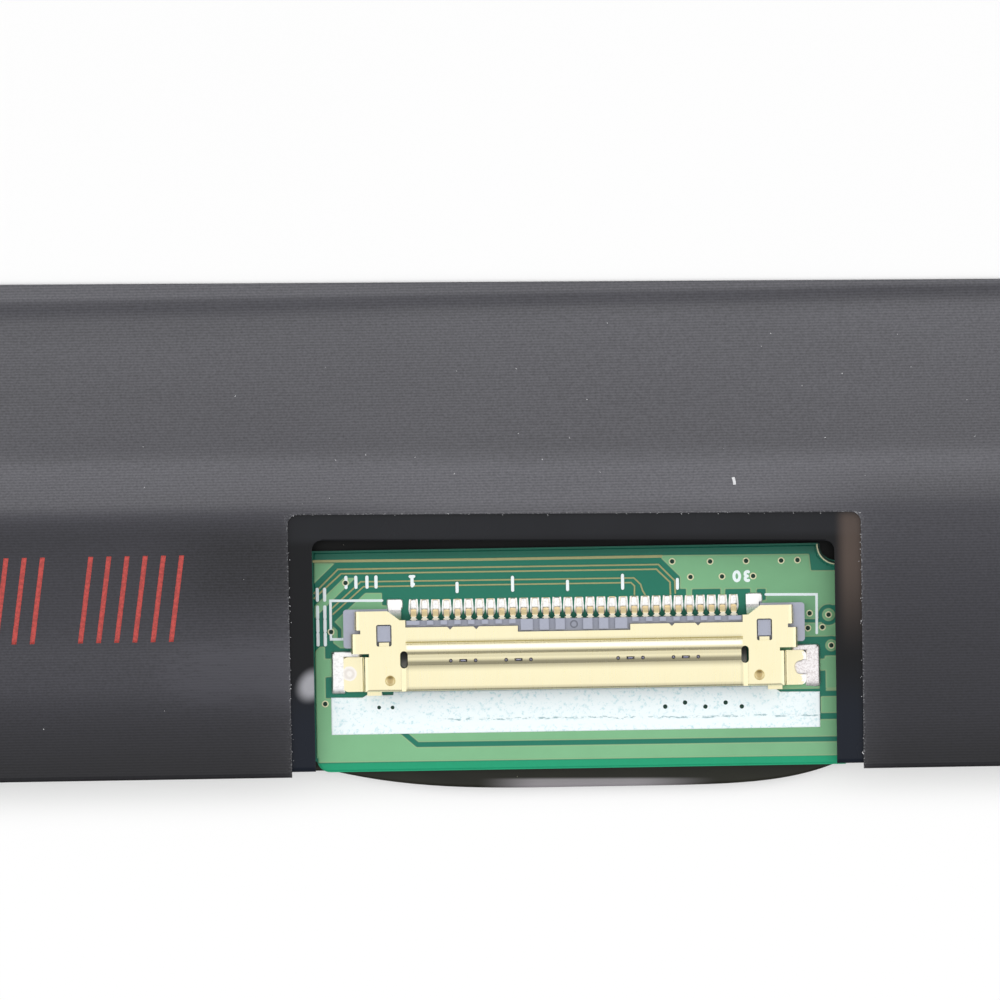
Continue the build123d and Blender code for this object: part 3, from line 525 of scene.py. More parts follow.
def mask_colour(finish, place, up):
    """Mottled green coating, brighter along the board's lower edge, with painted shade along its upper
    edge.
    """
    weave = finish.noise(place, 6.0, 3.0, 0.6)
    cloud = finish.noise(place, 0.7, 2.0)
    margin = up.step(0.44, 0.36)
    plain = finish.mix(margin, colours().mask, colours().mask_margin)
    # Mottling, with painted shade along the board's upper edge.
    shade = 0.92 + 0.10 * (cloud - 0.5) + 0.12 * (weave - 0.5) - 0.27 * up.step(9.45, 9.80)
    return finish.mix(shade, (0, 0, 0), plain), weave


def board_finish(finish):
    """Coated laminate of the board itself, with the raw edge left paler."""
    place, _, up = socket_place(finish)
    base, weave = mask_colour(finish, place, up)
    height = finish.part(place, "Z")
    edge = height.step(BOARD_FACE / MM - 0.03, BOARD_FACE / MM - 0.06)
    base = finish.mix(edge, base, linear(120, 150, 104))
    relief = finish.bump(weave, 0.006, 0.4)
    finish.surface(base, Roughness=0.36 + 0.1 * weave, Normal=relief, Specular_IOR_Level=BOARD_SPECULAR)


def copper_finish(finish):
    """Coating over etched copper: pale green on copper, a tan line along its edges, green beside it."""
    place, across, up = socket_place(finish)
    base, weave = mask_colour(finish, place, up)
    inside = finish.attribute("copper")
    on_copper = inside.step(0.005, 0.03)
    rim = inside.band(-0.015, 0.015, 0.03, 0.07)
    cloud = finish.noise(place, 1.1, 3.0)
    shade = 0.94 + 0.10 * (cloud - 0.5) - 0.08 * across.step(4.0, 9.0)
    coated = finish.mix(shade, (0, 0, 0), colours().mask_copper)
    base = finish.mix(on_copper, base, coated)
    base = finish.mix(rim * 0.22, base, colours().copper_edge)
    relief = finish.bump(weave, 0.006, 0.4)
    finish.surface(base, Roughness=0.34 + 0.1 * weave, Normal=relief, Specular_IOR_Level=BOARD_SPECULAR)


def trace_finish(finish):
    """Narrow coated tracks, tan because the coating is thin over them."""
    place = finish.place()
    wear = finish.noise(place, 5.0, 2.0)
    tan = linear(172, 172, 122)
    base = finish.mix(wear, dimmed(tan, 0.8), tan)
    finish.surface(base, Roughness=0.35 + 0.1 * wear, Specular_IOR_Level=BOARD_SPECULAR)


def drill_finish(finish):
    """Dark filled via holes."""
    place = finish.place()
    wear = finish.noise(place, 12.0, 2.0)
    base = finish.mix(wear, linear(8, 30, 26), linear(30, 72, 58))
    finish.surface(base, Roughness=0.3 + 0.2 * wear, Specular_IOR_Level=0.2)


# A broken line where the print dips: its place up, its fall across, its wander and its half width
PRINT_DIP = 2.28
PRINT_DIP_FALL = 0.004
PRINT_DIP_WANDER = 0.24
PRINT_DIP_HALF = 0.065


def print_finish(finish):
    """White print with a broken dip, and with faint blue mottling and pin holes away from its ridges."""
    place, across, up = socket_place(finish)
    grain = finish.noise(place, 6.0, 4.0, 0.7)
    blot = finish.noise(place, 2.4, 3.0)
    plain = 1.0 - finish.attribute("ridge")
    tint = finish.mix(grain.step(0.50, 0.72) * plain, colours().print, linear(190, 222, 228))
    pins = finish.specks(place, 3.0, 0.045, 0.22) * blot.step(0.48, 0.60) * plain
    broken = finish.noise(finish.stretched(place, (2.6, 9.0, 1.0)), 1.0, 4.0, 0.75)
    wander = finish.noise(finish.stretched(place, (1.3, 0.2, 1.0)), 1.0, 3.0)
    middle = PRINT_DIP - PRINT_DIP_FALL * across + PRINT_DIP_WANDER * (wander - 0.5)
    line = abs(up - middle).step(PRINT_DIP_HALF, 0.02) * broken.step(0.50, 0.56) * across.step(-6.3, -5.9)
    base = finish.mix(line * 0.75, tint, linear(104, 150, 158))
    base = finish.mix(pins * 0.6, base, linear(112, 160, 172))
    finish.surface(base, Roughness=0.55 + 0.15 * grain, Normal=finish.bump(grain, 0.004, 0.3))


# Solder left on the left lug: middle across and up, and reach, in millimetres
LUG_SWIRL = (-10.20, 4.45, 0.35)
# Dimples, painted with shade: distance from the socket's middle, and up
DIMPLES = (8.34, 4.15)
# Painted shade down the shell's long folds, as the share of light kept, by distance up from the board's
# lower edge
GOLD_BANDS = (
    (3.60, 0.80), (3.70, 0.62), (3.77, 0.72), (3.86, 0.98), (4.50, 1.0), (4.60, 0.90), (4.67, 0.74),
    (4.75, 0.58), (4.87, 0.54), (4.93, 0.42), (4.99, 0.62), (5.04, 0.84), (5.10, 0.93), (5.17, 0.77),
    (5.29, 0.80), (5.36, 0.85), (5.45, 1.0), (5.76, 1.0), (5.82, 0.86), (5.90, 0.74), (5.97, 0.95),
    (6.04, 1.0),
)


def grey(share):
    """A grey of that share of light."""
    return share, share, share


def gold_finish(finish):
    """Gold-plated sheet with brush lines along Y, a painted highlight on its bead, painted shade on its
    folds and ramps and in its dimples, tinned legs and stained lugs.
    """
    place, across, up = socket_place(finish)
    height = finish.part(place, "Z") - BOARD_FACE / MM
    rolled = finish.noise(finish.stretched(place, (16.0, 0.7, 1.0)), 1.0, 3.0, 0.6)
    cloud = finish.noise(place, 0.8, 2.0)
    pits = finish.specks(place, 1.1, 0.022, 0.22)
    deep = tuple(part * factor for part, factor in zip(colours().gold, (0.97, 0.94, 0.86)))
    base = finish.mix(0.5 * cloud + 0.7 * (rolled - 0.25), deep, colours().gold)
    base = finish.mix(pits * 0.5, base, linear(120, 100, 52))
    aside = abs(across)
    inner = aside.step(7.66, 7.50)
    # A painted highlight along the bead's crest.
    crest = inner * up.band(5.47, 5.56, 5.66, 5.74)
    base = finish.mix(crest * 0.8, base, linear(253, 252, 246))
    # Painted shade down the folds and on the neck ramps' faces.
    fold_shade = 1.0 - inner * (1.0 - finish.ramp(up, GOLD_BANDS, grey))
    ramp_shade = aside.band(7.46, 7.54, 7.82, 7.90) * up.step(4.76, 4.70)
    base = finish.mix(fold_shade - 0.12 * ramp_shade, linear(30, 22, 6), base)
    # Painted shade in the dimples.
    pit_shade = finish.distance(aside - DIMPLES[0], (up - DIMPLES[1]) * 0.8).step(0.22, 0.11)
    base = finish.mix(pit_shade * 0.75, base, linear(158, 128, 66))
    ragged = finish.noise(place, 4.0, 3.0, 0.6) - 0.5
    low = height.step(0.30, 0.20)
    u, v, reach = LUG_SWIRL
    swirl = finish.distance(across - u, up - v) / reach + 0.35 * ragged
    circles = 0.75 + 0.25 * finish.maths("SINE", 9.0 * swirl)
    stain = finish.mix(circles, linear(198, 190, 186), linear(240, 236, 234))
    base = finish.mix(swirl.step(1.0, 0.9) * low * 0.9, base, stain)
    legs = up.step(6.86, 6.98) * height.step(0.86, 0.80)
    right_lug = low * (across + 0.9 * ragged).step(10.27, 10.33)
    base = finish.mix(legs.at_least(right_lug), base, colours().solder)
    relief = finish.bump(rolled, 0.003, 0.30)
    finish.surface(base, Metallic=1.0, Roughness=0.22 + 0.14 * rolled, Normal=relief)


def contact_finish(finish):
    """Gold-plated contacts: amber on their slopes, cream where they flare behind the comb."""
    place, _, up = socket_place(finish)
    wear = finish.noise(place, 6.0, 2.0)
    amber = finish.mix(wear, linear(244, 216, 162), linear(254, 236, 192))
    base = finish.mix(up.step(7.02, 6.95), amber, linear(250, 244, 222))
    finish.surface(base, Metallic=0.30, Roughness=0.26 + 0.15 * wear)


def solder_finish(finish):
    """Bright tinned joints with a fine frost."""
    place = finish.place()
    frost = finish.noise(place, 9.0, 3.0, 0.65)
    base = finish.mix(frost.step(0.34, 0.54), dimmed(colours().solder, 0.82), colours().solder)
    relief = finish.bump(frost, 0.006, 0.35)
    finish.surface(base, Metallic=1.0, Roughness=0.26 + 0.2 * frost, Normal=relief)


def grainy_solder_finish(finish):
    """Dull, sparkling joint of the right lug."""
    place = finish.place()
    frost = finish.noise(place, 16.0, 3.0, 0.7)
    base = finish.mix(frost.step(0.34, 0.60), linear(206, 198, 198), linear(242, 238, 238))
    relief = finish.bump(frost, 0.006, 0.3)
    finish.surface(base, Metallic=1.0, Roughness=0.30 + 0.2 * frost, Normal=relief)


def plastic_finish(finish, shade, rough, gloss=0.5):
    """Moulded plastic with a fine spark-eroded grain."""
    place = finish.place()
    grain = finish.noise(place, 10.0, 3.0, 0.6)
    cloud = finish.noise(place, 0.5, 2.0)
    tone = 0.86 + 0.10 * grain + 0.08 * cloud
    base = finish.mix(tone.at_most(1.0), (0, 0, 0), shade)
    relief = finish.bump(grain, 0.006, 0.4)
    finish.surface(base, Roughness=rough + 0.12 * grain, Normal=relief, Specular_IOR_Level=gloss)


def housing_finish(finish):
    """Grey socket plastic with painted shade in the low gaps of its comb and in the round mark pressed into
    it.
    """
    place, across, up = socket_place(finish)
    height = finish.part(place, "Z") - BOARD_FACE / MM
    grain = finish.noise(place, 10.0, 3.0, 0.6)
    shade = colours().housing
    comb = up.step(6.10, 6.20) * abs(across).step(7.75, 7.65)
    # Painted shade in the low gaps of the comb.
    gap_shade = 0.45 * height.step(0.915, 0.875) + 0.45 * height.step(0.845, 0.83)
    base = finish.mix(gap_shade * comb, shade, dimmed(shade, 0.45))
    base = finish.mix(0.12 * grain, base, (0, 0, 0))
    finish.surface(base, Roughness=0.45 + 0.12 * grain, Normal=finish.bump(grain, 0.006, 0.4))


# Painted sheen and shade up the metal in the shell's end slots: share of light, by distance up from the
# board's lower edge
SLOT_TONES = ((4.70, 0.48), (4.90, 0.30), (5.10, 0.11), (5.45, 0.02))


def slot_sheen_and_shade_finish(finish):
    """Bent metal deep in the shell's end slots: a painted grey sheen at the lower end, painted shade at the
    upper.
    """
    place, _, up = socket_place(finish)
    wear = finish.noise(place, 8.0, 2.0)
    # Painted grey sheen low down, painted shade high up.
    base = finish.ramp(up + 0.05 * (wear - 0.5), SLOT_TONES, grey)
    finish.surface(base, Roughness=0.4 + 0.1 * wear, Specular_IOR_Level=0.2)


def sheet_finish(finish, shade, rough):
    """Smooth plastic film or plate with faint streaks along X."""
    place = finish.place()
    streak = finish.noise(finish.stretched(place, (0.05, 1.2, 1.0)), 1.0, 3.0)
    base = finish.mix(streak, dimmed(shade, 0.94), shade)
    finish.surface(base, Roughness=rough + 0.08 * streak)


def glass_finish(finish):
    """Thin display glass, dark because of what lies behind it, with greenish ground edges."""
    place = finish.place()
    ground = finish.noise(place, 4.0, 3.0, 0.6)
    base = finish.mix(ground, linear(44, 62, 58), linear(86, 108, 102))
    finish.surface(base, Roughness=0.10 + 0.25 * ground, Coat_Weight=0.4, IOR=1.52)


# Picture area of the screen: its middle along Y, its half sizes and the blur of its edge, in millimetres
PICTURE_MIDDLE = 8.52
PICTURE_HALF = (172.05, 96.75)
PICTURE_BLUR = 0.15


def screen_finish(finish):
    """Dark hard-coated polariser with a black border round the picture area and a fine matt grain."""
    place = finish.place()
    grain = finish.noise(place, 16.0, 2.0)
    cloud = finish.noise(place, 0.02, 2.0)
    away = (abs(finish.part(place, "X")), abs(finish.part(place, "Y") - PICTURE_MIDDLE))
    outside = [
        gap.step(half - PICTURE_BLUR, half + PICTURE_BLUR) for gap, half in zip(away, PICTURE_HALF)
    ]
    border = outside[0].at_least(outside[1])
    picture = finish.mix(cloud, linear(24, 26, 30), linear(34, 36, 41))
    base = finish.mix(border, picture, linear(14, 14, 15))
    relief = finish.bump(grain, 0.004, 0.35)
    finish.surface(base, Roughness=0.24 + 0.08 * grain, Coat_Weight=0.25, Normal=relief)


def reflector_finish(finish):
    """White reflector film: a satin face with a faint cloud and grain."""
    place = finish.place()
    grain = finish.noise(place, 5.0, 3.0, 0.6)
    cloud = finish.noise(place, 0.03, 3.0)
    shade = colours().reflector
    base = finish.mix(cloud, dimmed(shade, 0.985), shade)
    relief = finish.bump(grain, 0.003, 0.3)
    finish.surface(base, Roughness=0.5 + 0.1 * grain, Normal=relief, Specular_IOR_Level=0.3)


def chip_finish(finish, shade):
    """Moulded or fired chip body with a speckled face."""
    place = finish.place()
    grain = finish.noise(place, 14.0, 3.0, 0.7)
    base = finish.mix(grain, dimmed(shade, 0.75), shade)
    finish.surface(base, Roughness=0.45 + 0.2 * grain, Normal=finish.bump(grain, 0.01, 0.5))


def lint_finish(finish):
    """Pale fibres and dust."""
    place = finish.place()
    tone = finish.noise(place, 9.0, 2.0)
    base = finish.mix(tone, linear(176, 176, 180), linear(240, 240, 242))
    finish.surface(base, Roughness=0.7 + 0.1 * tone)


# Meshes


def grid_faces(rows, columns, around=False):
    """Quads between the points of a grid that is numbered row by row; around closes each row."""
    across = columns if around else columns - 1
    row = np.arange(rows - 1)[:, None] * columns
    here = np.arange(across)[None, :]
    beyond = (here + 1) % columns
    above = row + columns
    return np.stack([row + here, row + beyond, above + beyond, above + here], -1).reshape(-1, 4)


def repeated(pattern, times, points):
    """The faces of one body for many bodies in a row that have that number of points each."""
    return (pattern + (np.arange(times) * points)[:, None, None]).reshape(-1, pattern.shape[1])


def make_piece(name, points, faces, finish, smooth=True):
    """A mesh object of an (n, 3) array of points in metres and an array of faces, riding on the panel."""
    mesh = bpy.data.meshes.new(name)
    if isinstance(faces, np.ndarray):
        mesh.vertices.add(len(points))
        mesh.vertices.foreach_set("co", np.asarray(points, np.float32).ravel())
        mesh.loops.add(faces.size)
        mesh.loops.foreach_set("vertex_index", faces.astype(np.int32).ravel())
        mesh.polygons.add(len(faces))
        mesh.polygons.foreach_set("loop_start", np.arange(len(faces), dtype=np.int32) * faces.shape[1])
    else:
        mesh.from_pydata(np.asarray(points).tolist(), [], faces)
    mesh.update(calc_edges=True)
    mesh.validate()
    mesh.polygons.foreach_set("use_smooth", np.full(len(mesh.polygons), smooth))
    mesh.materials.append(finish)
    piece = bpy.data.objects.new(name, mesh)
    bpy.context.scene.collection.objects.link(piece)
    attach(piece, BODY)
    return piece


def paint(piece, name, values):
    """Keeps one number for each point of a piece, for its finish to read."""
    attribute = piece.data.attributes.new(name, "FLOAT", "POINT")
    attribute.data.foreach_set("value", np.asarray(values, np.float32).ravel())


def on_board(points, height):
    """Points in metres; they are given across and up from the socket's middle and the board's lower edge.

    The height is counted from the board's face; all are given in millimetres.
    """
    flat = np.asarray(points, float)
    levels = np.broadcast_to(np.asarray(height, float), flat.shape[:-1])
    across = SOCKET_X + flat[..., 0] * MM
    up = BOARD_EDGE + flat[..., 1] * MM
    return np.stack([across, up, BOARD_FACE + levels * MM], -1)


def arc(centre, radius, start, end, count):
    """Points on an arc between two angles in degrees."""
    angles = np.radians(np.linspace(start, end, count))
    return np.stack([centre[0] + radius * np.cos(angles), centre[1] + radius * np.sin(angles)], -1)


# Least share that a mitre is divided by, so that sharp corners stay short
SHARPEST_MITRE = 0.35


def edge_normals(outline):
    """Mitre vectors of a closed anticlockwise outline: each point plus its vector lies 1 further in."""
    along = np.roll(outline, -1, 0) - outline
    along /= np.linalg.norm(along, axis=1, keepdims=True)
    inward = np.stack([-along[:, 1], along[:, 0]], -1)
    before = np.roll(inward, 1, 0)
    share = 1 + np.sum(inward * before, axis=1, keepdims=True)
    return (inward + before) / np.maximum(share, SHARPEST_MITRE)


def anticlockwise(outline):
    """The outline, turned round if it runs clockwise."""
    points = np.asarray(outline, float)
    ahead = np.roll(points, -1, 0)
    area = np.sum(points[:, 0] * ahead[:, 1] - ahead[:, 0] * points[:, 1])
    return points if area > 0 else points[::-1]


def loft(stacks):
    """Closed bodies: each stack is an array of rings (rows, columns, 3), joined by sides and capped.

    The rings run anticlockwise seen from the last ring, so that the faces look outward.
    """
    points = []
    faces = []
    start = 0
    for stack in stacks:
        rows, columns = stack.shape[:2]
        points.append(stack.reshape(-1, 3))
        faces += (grid_faces(rows, columns, around=True) + start).tolist()
        faces.append(list(range(start + columns - 1, start - 1, -1)))
        faces.append(list(range(start + (rows - 1) * columns, start + rows * columns)))
        start += rows * columns
    return np.concatenate(points), faces


# Step in millimetres between the faces of neighbouring plates
PLATE_STAGGER = 0.0015
PLATE_LEVELS = 3


def plates(outlines, base, height, rim):
    """Low plates: each outline rises over a sloping rim to a flat face; all in millimetres.

    The rim joins the outline at the base height to the same outline moved inward by rim at base plus
    height. The faces of plates that follow each other step through three close levels, so that plates that
    cross do not share a face.
    """
    stacks = []
    for number, outline in enumerate(outlines):
        foot = anticlockwise(outline)
        top = foot + rim * edge_normals(foot)
        level = base + height + PLATE_STAGGER * (number % PLATE_LEVELS)
        stacks.append(np.stack([on_board(foot, base), on_board(top, level)]))
    return loft(stacks)


def stroke(path, width):
    """Outline of a line of the given width along a path, with mitred corners and round ends."""
    line = np.asarray(path, float)
    along = np.diff(line, axis=0)
    along /= np.linalg.norm(along, axis=1, keepdims=True)
    side = np.stack([-along[:, 1], along[:, 0]], -1)
    before = np.concatenate([side[:1], side])
    after = np.concatenate([side, side[-1:]])
    share = 1 + np.sum(before * after, axis=1, keepdims=True)
    offset = width / 2 * (before + after) / share
    heading = np.degrees(np.arctan2(along[[0, -1], 1], along[[0, -1], 0]))
    head = arc(line[-1], width / 2, heading[1] + 60, heading[1] - 60, 5)
    tail = arc(line[0], width / 2, heading[0] - 120, heading[0] - 240, 5)
    return np.concatenate([line + offset, head, (line - offset)[::-1], tail])


def rings(rows, base, height):
    """Flat rings: the closed profile inner foot, inner rim, outer rim, outer foot turned about each centre.

    Each row gives the centre's two coordinates and the inner and outer radius, in millimetres.
    """
    table = np.asarray(rows, float)
    steps = 28
    corners = 4
    turn = np.linspace(0, math.tau, steps, endpoint=False)
    slope = 0.012
    inner, outer = table[:, 2], table[:, 3]
    radii = np.stack([inner, inner + slope, outer - slope, outer, inner], -1)
    levels = np.array([base, base + height, base + height, base, base])
    circle = np.stack([np.cos(turn), np.sin(turn)], -1)
    flat = table[:, None, None, :2] + radii[:, :, None, None] * circle
    points = on_board(flat, levels[None, :, None])
    each = corners * steps
    pattern = grid_faces(corners + 1, steps, around=True)[:, ::-1] % each
    return points[:, :corners].reshape(-1, 3), repeated(pattern, len(table), each)


def domes(rows, base, steps=18, circles=4):
    """Low round caps: height falls from the middle to the rim as one minus the square of the radius.

    Each row gives the centre's two coordinates, the radius and the height, in millimetres.
    """
    tip = 0.12
    turn = np.linspace(0, math.tau, steps, endpoint=False)
    share = np.linspace(1, tip, circles)[:, None]
    circle = np.stack([np.cos(turn), np.sin(turn)], -1)
    stacks = []
    for u, v, radius, height in rows:
        flat = np.array([u, v]) + radius * share[..., None] * circle
        stacks.append(on_board(flat, base + height * (1 - share**2)))
    return loft(stacks)


def soft_corner(distance, reach):
    """A ramp: 0 before a corner, the distance after it, and a parabola over reach either side."""
    blended = (distance + reach) ** 2 / (4 * reach)
    return np.where(distance <= -reach, 0.0, np.where(distance >= reach, distance, blended))


def cell_outline_distance(across, up, outline):
    """Distance in millimetres to the nearest edge of an outline, positive inside it.

    A point lies inside when a line to its right crosses an odd number of edges.
    """
    tiny = 1e-9
    shape = np.asarray(outline, float)
    ahead = np.roll(shape, -1, 0)
    edge = ahead - shape
    gap = np.stack([across, up], -1)[..., None, :] - shape
    share = np.clip(np.sum(gap * edge, -1) / np.sum(edge * edge, -1), 0, 1)
    nearest = np.min(np.linalg.norm(gap - share[..., None] * edge, axis=-1), -1)
    level = up[..., None]
    straddles = (shape[:, 1] > level) != (ahead[:, 1] > level)
    rise = np.where(np.abs(edge[:, 1]) < tiny, tiny, edge[:, 1])
    meets = shape[:, 0] + (level - shape[:, 1]) * edge[:, 0] / rise
    inside = np.sum(straddles & (across[..., None] < meets), -1) % 2
    return np.where(inside == 1, nearest, -nearest)


def box_distance(across, up, box):
    """Distance in millimetres to the nearest side of a box (left, right, low, high), positive inside."""
    left, right, low, high = box
    return np.minimum(np.minimum(across - left, right - across), np.minimum(up - low, high - up))


def line_distance(across, up, path, width):
    """Distance in millimetres to a line of the given width along a path, positive inside it."""
    line = np.asarray(path, float)
    edge = np.diff(line, axis=0)
    gap = np.stack([across, up], -1)[..., None, :] - line[:-1]
    share = np.clip(np.sum(gap * edge, -1) / np.sum(edge * edge, -1), 0, 1)
    return width / 2 - np.min(np.linalg.norm(gap - share[..., None] * edge, axis=-1), -1)


# Draped sheets

# Underside of the cover tape from the rear sheet down to the board: distance up from the board's lower
# edge, height, the reach of each soft corner, and how far the corner's line climbs per millimetre across
TAPE_SECTION = (
    (31.505, 2.65, 0.0, 0.0),
    (21.45, 2.65, 0.22, 0.006),
    (20.80, 2.52, 0.22, 0.006),
    (14.31, 2.52, 0.35, -0.010),
    (13.86, 2.76, 0.35, -0.010),
    (11.45, 2.76, 0.45, 0.013),
    (5.00, 2.36, 0.60, 0.0),
    (3.40, 2.32, 0.60, 0.0),
    (-0.84, 1.84, 0.0, 0.0),
)
# Distance from the socket's middle beyond which the corners' lines climb no further
CLIMB_REACH = 30


def drape_height(across, up):
    """Height of the tape's underside in millimetres: straight runs joined by parabolas at the corners."""
    table = np.array(TAPE_SECTION)
    slopes = np.diff(table[:, 1]) / np.diff(table[:, 0])
    level = table[0, 1] + slopes[0] * (up - table[0, 0])
    near = np.clip(across, -CLIMB_REACH, CLIMB_REACH)
    for (place, _, reach, lean), before, after in zip(table[1:-1], slopes[:-1], slopes[1:]):
        level = level + (before - after) * soft_corner(place + lean * near - up, reach)
    return level


def ripples(across, up, seed, count, longest, height):
    """Slow unevenness: a sum of sine waves of random direction, length and phase."""
    rng = np.random.default_rng(seed)
    level = np.zeros_like(across)
    for _ in range(count):
        length = longest * rng.uniform(0.25, 1.0)
        turn = rng.uniform(0, math.tau)
        phase = rng.uniform(0, math.tau)
        wave = np.sin(math.tau / length * (across * np.cos(turn) + up * np.sin(turn)) + phase)
        level += height / count * wave * length / longest
    return level


# Slow unevenness of the tape and of the film
TAPE_RIPPLES = {"seed": 5, "count": 14, "longest": 26.0, "height": 0.05}
FILM_RIPPLES = {"seed": 9, "count": 8, "longest": 14.0, "height": 0.012}


def tape_face(across, up):
    """Height of the tape's upper face in millimetres."""
    thick = sizes().tape_thickness / MM
    return drape_height(across, up) + thick + ripples(across, up, **TAPE_RIPPLES)


def notch_columns(half, left, right, fine, hem):
    """Places of the columns across a notched sheet, from the socket's middle: dense near the notch.

    Returns the columns left of the notch, over it and right of it, in millimetres; hem is the distance from
    the notch's side to the nearest column.
    """
    middle = SOCKET_X / MM
    near = 16.0
    count = int(near / fine)
    far_left = np.linspace(-half - middle, -left - near, 80)[:-1]
    near_left = np.linspace(-left - near, -left - hem, count)
    over = np.linspace(-left, right, int((left + right) / fine))[1:-1]
    near_right = np.linspace(right + hem, right + near, count)
    far_right = np.linspace(right + near, half - middle, 50)[1:]
    left_part = np.concatenate([far_left, near_left, [-left]])
    right_part = np.concatenate([[right], near_right, far_right])
    return left_part, over, right_part


def notched_sheet(half, low, top, skew, notch, notch_skew, corner, rows, fine, hem=0.09):
    """Grid of a strip with a notch that is open below, as distances across and up in millimetres.

    Rows run level at the lower edge and askew along the notch's head and the upper edge. Beside the notch
    each row ends at the notch's side, which turns into the head along a quarter circle. Returns the two
    grids, the mask of the cells that exist, and the distance of each point from the notch.
    """
    left, right, head = notch
    left_part, over_part, right_part = notch_columns(half, left - corner, right - corner, fine, hem)
    columns = np.concatenate([left_part, over_part, right_part])
    head_line = head - columns * math.tan(notch_skew)
    top_line = top - columns * math.tan(skew)
    below, above = rows
    rise = np.linspace(0, 1, below)[:, None]
    turn = np.linspace(math.pi, math.pi / 2, 9)[1:, None]
    climb = np.linspace(0, 1, above)[:, None]
    lower = low + rise * (head_line - corner - low)
    bend = head_line - corner * (1 - np.sin(turn))
    upper = head_line + hem + climb * (top_line - head_line - hem)
    up = np.concatenate([lower, bend, upper])
    across = np.broadcast_to(columns, up.shape).copy()
    beside = len(lower) + len(bend)
    drop = np.clip(head_line - up[:beside], 0, corner)
    shift = -np.sqrt(np.maximum(corner**2 - (corner - drop) ** 2, 0))
    reach = 4.0
    on_left = np.clip(1 - (corner - left - columns) / reach, 0, 1) * (columns <= corner - left)
    on_right = np.clip(1 - (columns - right + corner) / reach, 0, 1) * (columns >= right - corner)
    across[:beside] += (on_left - on_right) * shift
    cells = np.ones((up.shape[0] - 1, up.shape[1] - 1), bool)
    cells[: beside - 1, len(left_part) - 1 : len(left_part) + len(over_part)] = False
    beyond = np.maximum(-left - across, across - right)
    gap = np.maximum(beyond, up - head_line)
    return across, up, cells, gap


def thicken(piece, thickness):
    """Gives an open sheet its thickness, downwards from its face."""
    body = piece.modifiers.new("Thickness", "SOLIDIFY")
    body.thickness = thickness
    body.offset = -1


def sheet_piece(name, across, up, level, cells, finish, thickness):
    """A sheet whose upper face is a grid of points; returns it and the numbers of the points it uses."""
    points = on_board(np.stack([across, up], -1), level - BOARD_FACE / MM)
    faces = grid_faces(*across.shape)[cells.ravel()]
    used, numbers = np.unique(faces, return_inverse=True)
    piece = make_piece(name, points.reshape(-1, 3)[used], numbers.reshape(faces.shape), finish)
    thicken(piece, thickness)
    return piece, used


# Notches: distance of the left and right side from the socket's middle, and height of the head
TAPE_NOTCH = (12.85, 13.00, 11.55)
FILM_NOTCH = (11.78, 11.80, 10.33)
TAPE_TOP = 22.02
# Width of the frayed hem round the tape's notch, which carries a painted glint
FRAY = 0.09
# A wrinkle left of the notch: the crease's height, its half width and a point on it, and the middle and
# reach of the patch that it fades out in
WRINKLE_HEIGHT = 0.02
WRINKLE_HALF = 0.35
WRINKLE_POINT = (-14.2, 3.6)
WRINKLE_MIDDLE = (-14.0, 3.5)
WRINKLE_REACH = (1.6, 1.3)
# Distance of the film's face below the tape's underside
FILM_GAP = 0.016


def wrinkle(across, up):
    """Height of the wrinkle: a slanted crease times a round patch, both bell curves."""
    aside = (across - WRINKLE_POINT[0]) * 0.8 + (up - WRINKLE_POINT[1]) * 0.5
    crease = np.exp(-((aside / WRINKLE_HALF) ** 2))
    beside = (across - WRINKLE_MIDDLE[0]) / WRINKLE_REACH[0]
    above = (up - WRINKLE_MIDDLE[1]) / WRINKLE_REACH[1]
    return WRINKLE_HEIGHT * crease * np.exp(-(beside**2 + above**2))


def build_tape():
    """Cover tape over the drape, its notch frayed, with slow unevenness and a wrinkle left of the notch."""
    half = TAPE_HIGH.x / MM
    low = (TAPE_LOW.y - BOARD_EDGE) / MM
    skew = sizes().tape_skew
    corner = sizes().notch_corner / MM
    across, up, cells, gap = notched_sheet(
        half, low, TAPE_TOP, skew, TAPE_NOTCH, skew, corner, rows=(46, 46), fine=0.22
    )
    level = tape_face(across, up) + wrinkle(across, up)
    tape = material("cover_tape_finish", tape_finish)
    piece, used = sheet_piece(
        "cover_tape", across, up, level, cells, tape, sizes().tape_thickness
    )
    paint(piece, "fray", np.clip(1 - gap / FRAY, 0, 1).ravel()[used])
    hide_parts("rear_cover_tape")


def build_film():
    """Smooth inner film under the tape, seen round the notch."""
    half = FILM_HIGH.x / MM
    low = (FILM_LOW.y - BOARD_EDGE) / MM
    top = (FILM_HIGH.y - BOARD_EDGE) / MM
    corner = sizes().notch_corner / MM
    skew = sizes().film_skew
    across, up, cells, _ = notched_sheet(
        half, low, top, 0.0, FILM_NOTCH, skew, corner, rows=(40, 14), fine=0.3
    )
    level = drape_height(across, up) - FILM_GAP + ripples(across, up, **FILM_RIPPLES)
    film = material("inner_film_finish", film_finish)
    piece, _ = sheet_piece(
        "inner_film", across, up, level, cells, film, sizes().film_thickness
    )
    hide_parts("insulating_film")


# Ends of the front tape's bow and of its flat bottom, from the socket's middle in millimetres
BOW_LEFT = -11.10
BOW_RIGHT = 11.87
BOW_FLAT_LEFT = -1.0
BOW_FLAT_RIGHT = 1.0
# How blunt the bow is on either side
BOW_LEFT_POWER = 2.8
BOW_RIGHT_POWER = 4.8
# Front tape: how far the flap reaches past the board, and the flap's upper and lower ends
FLAP_BEYOND = 2.0
FLAP_TOP = 11.6
FLAP_LOW = 0.05
# Gap between the bow's end and the next column
BOW_HEM = 0.1


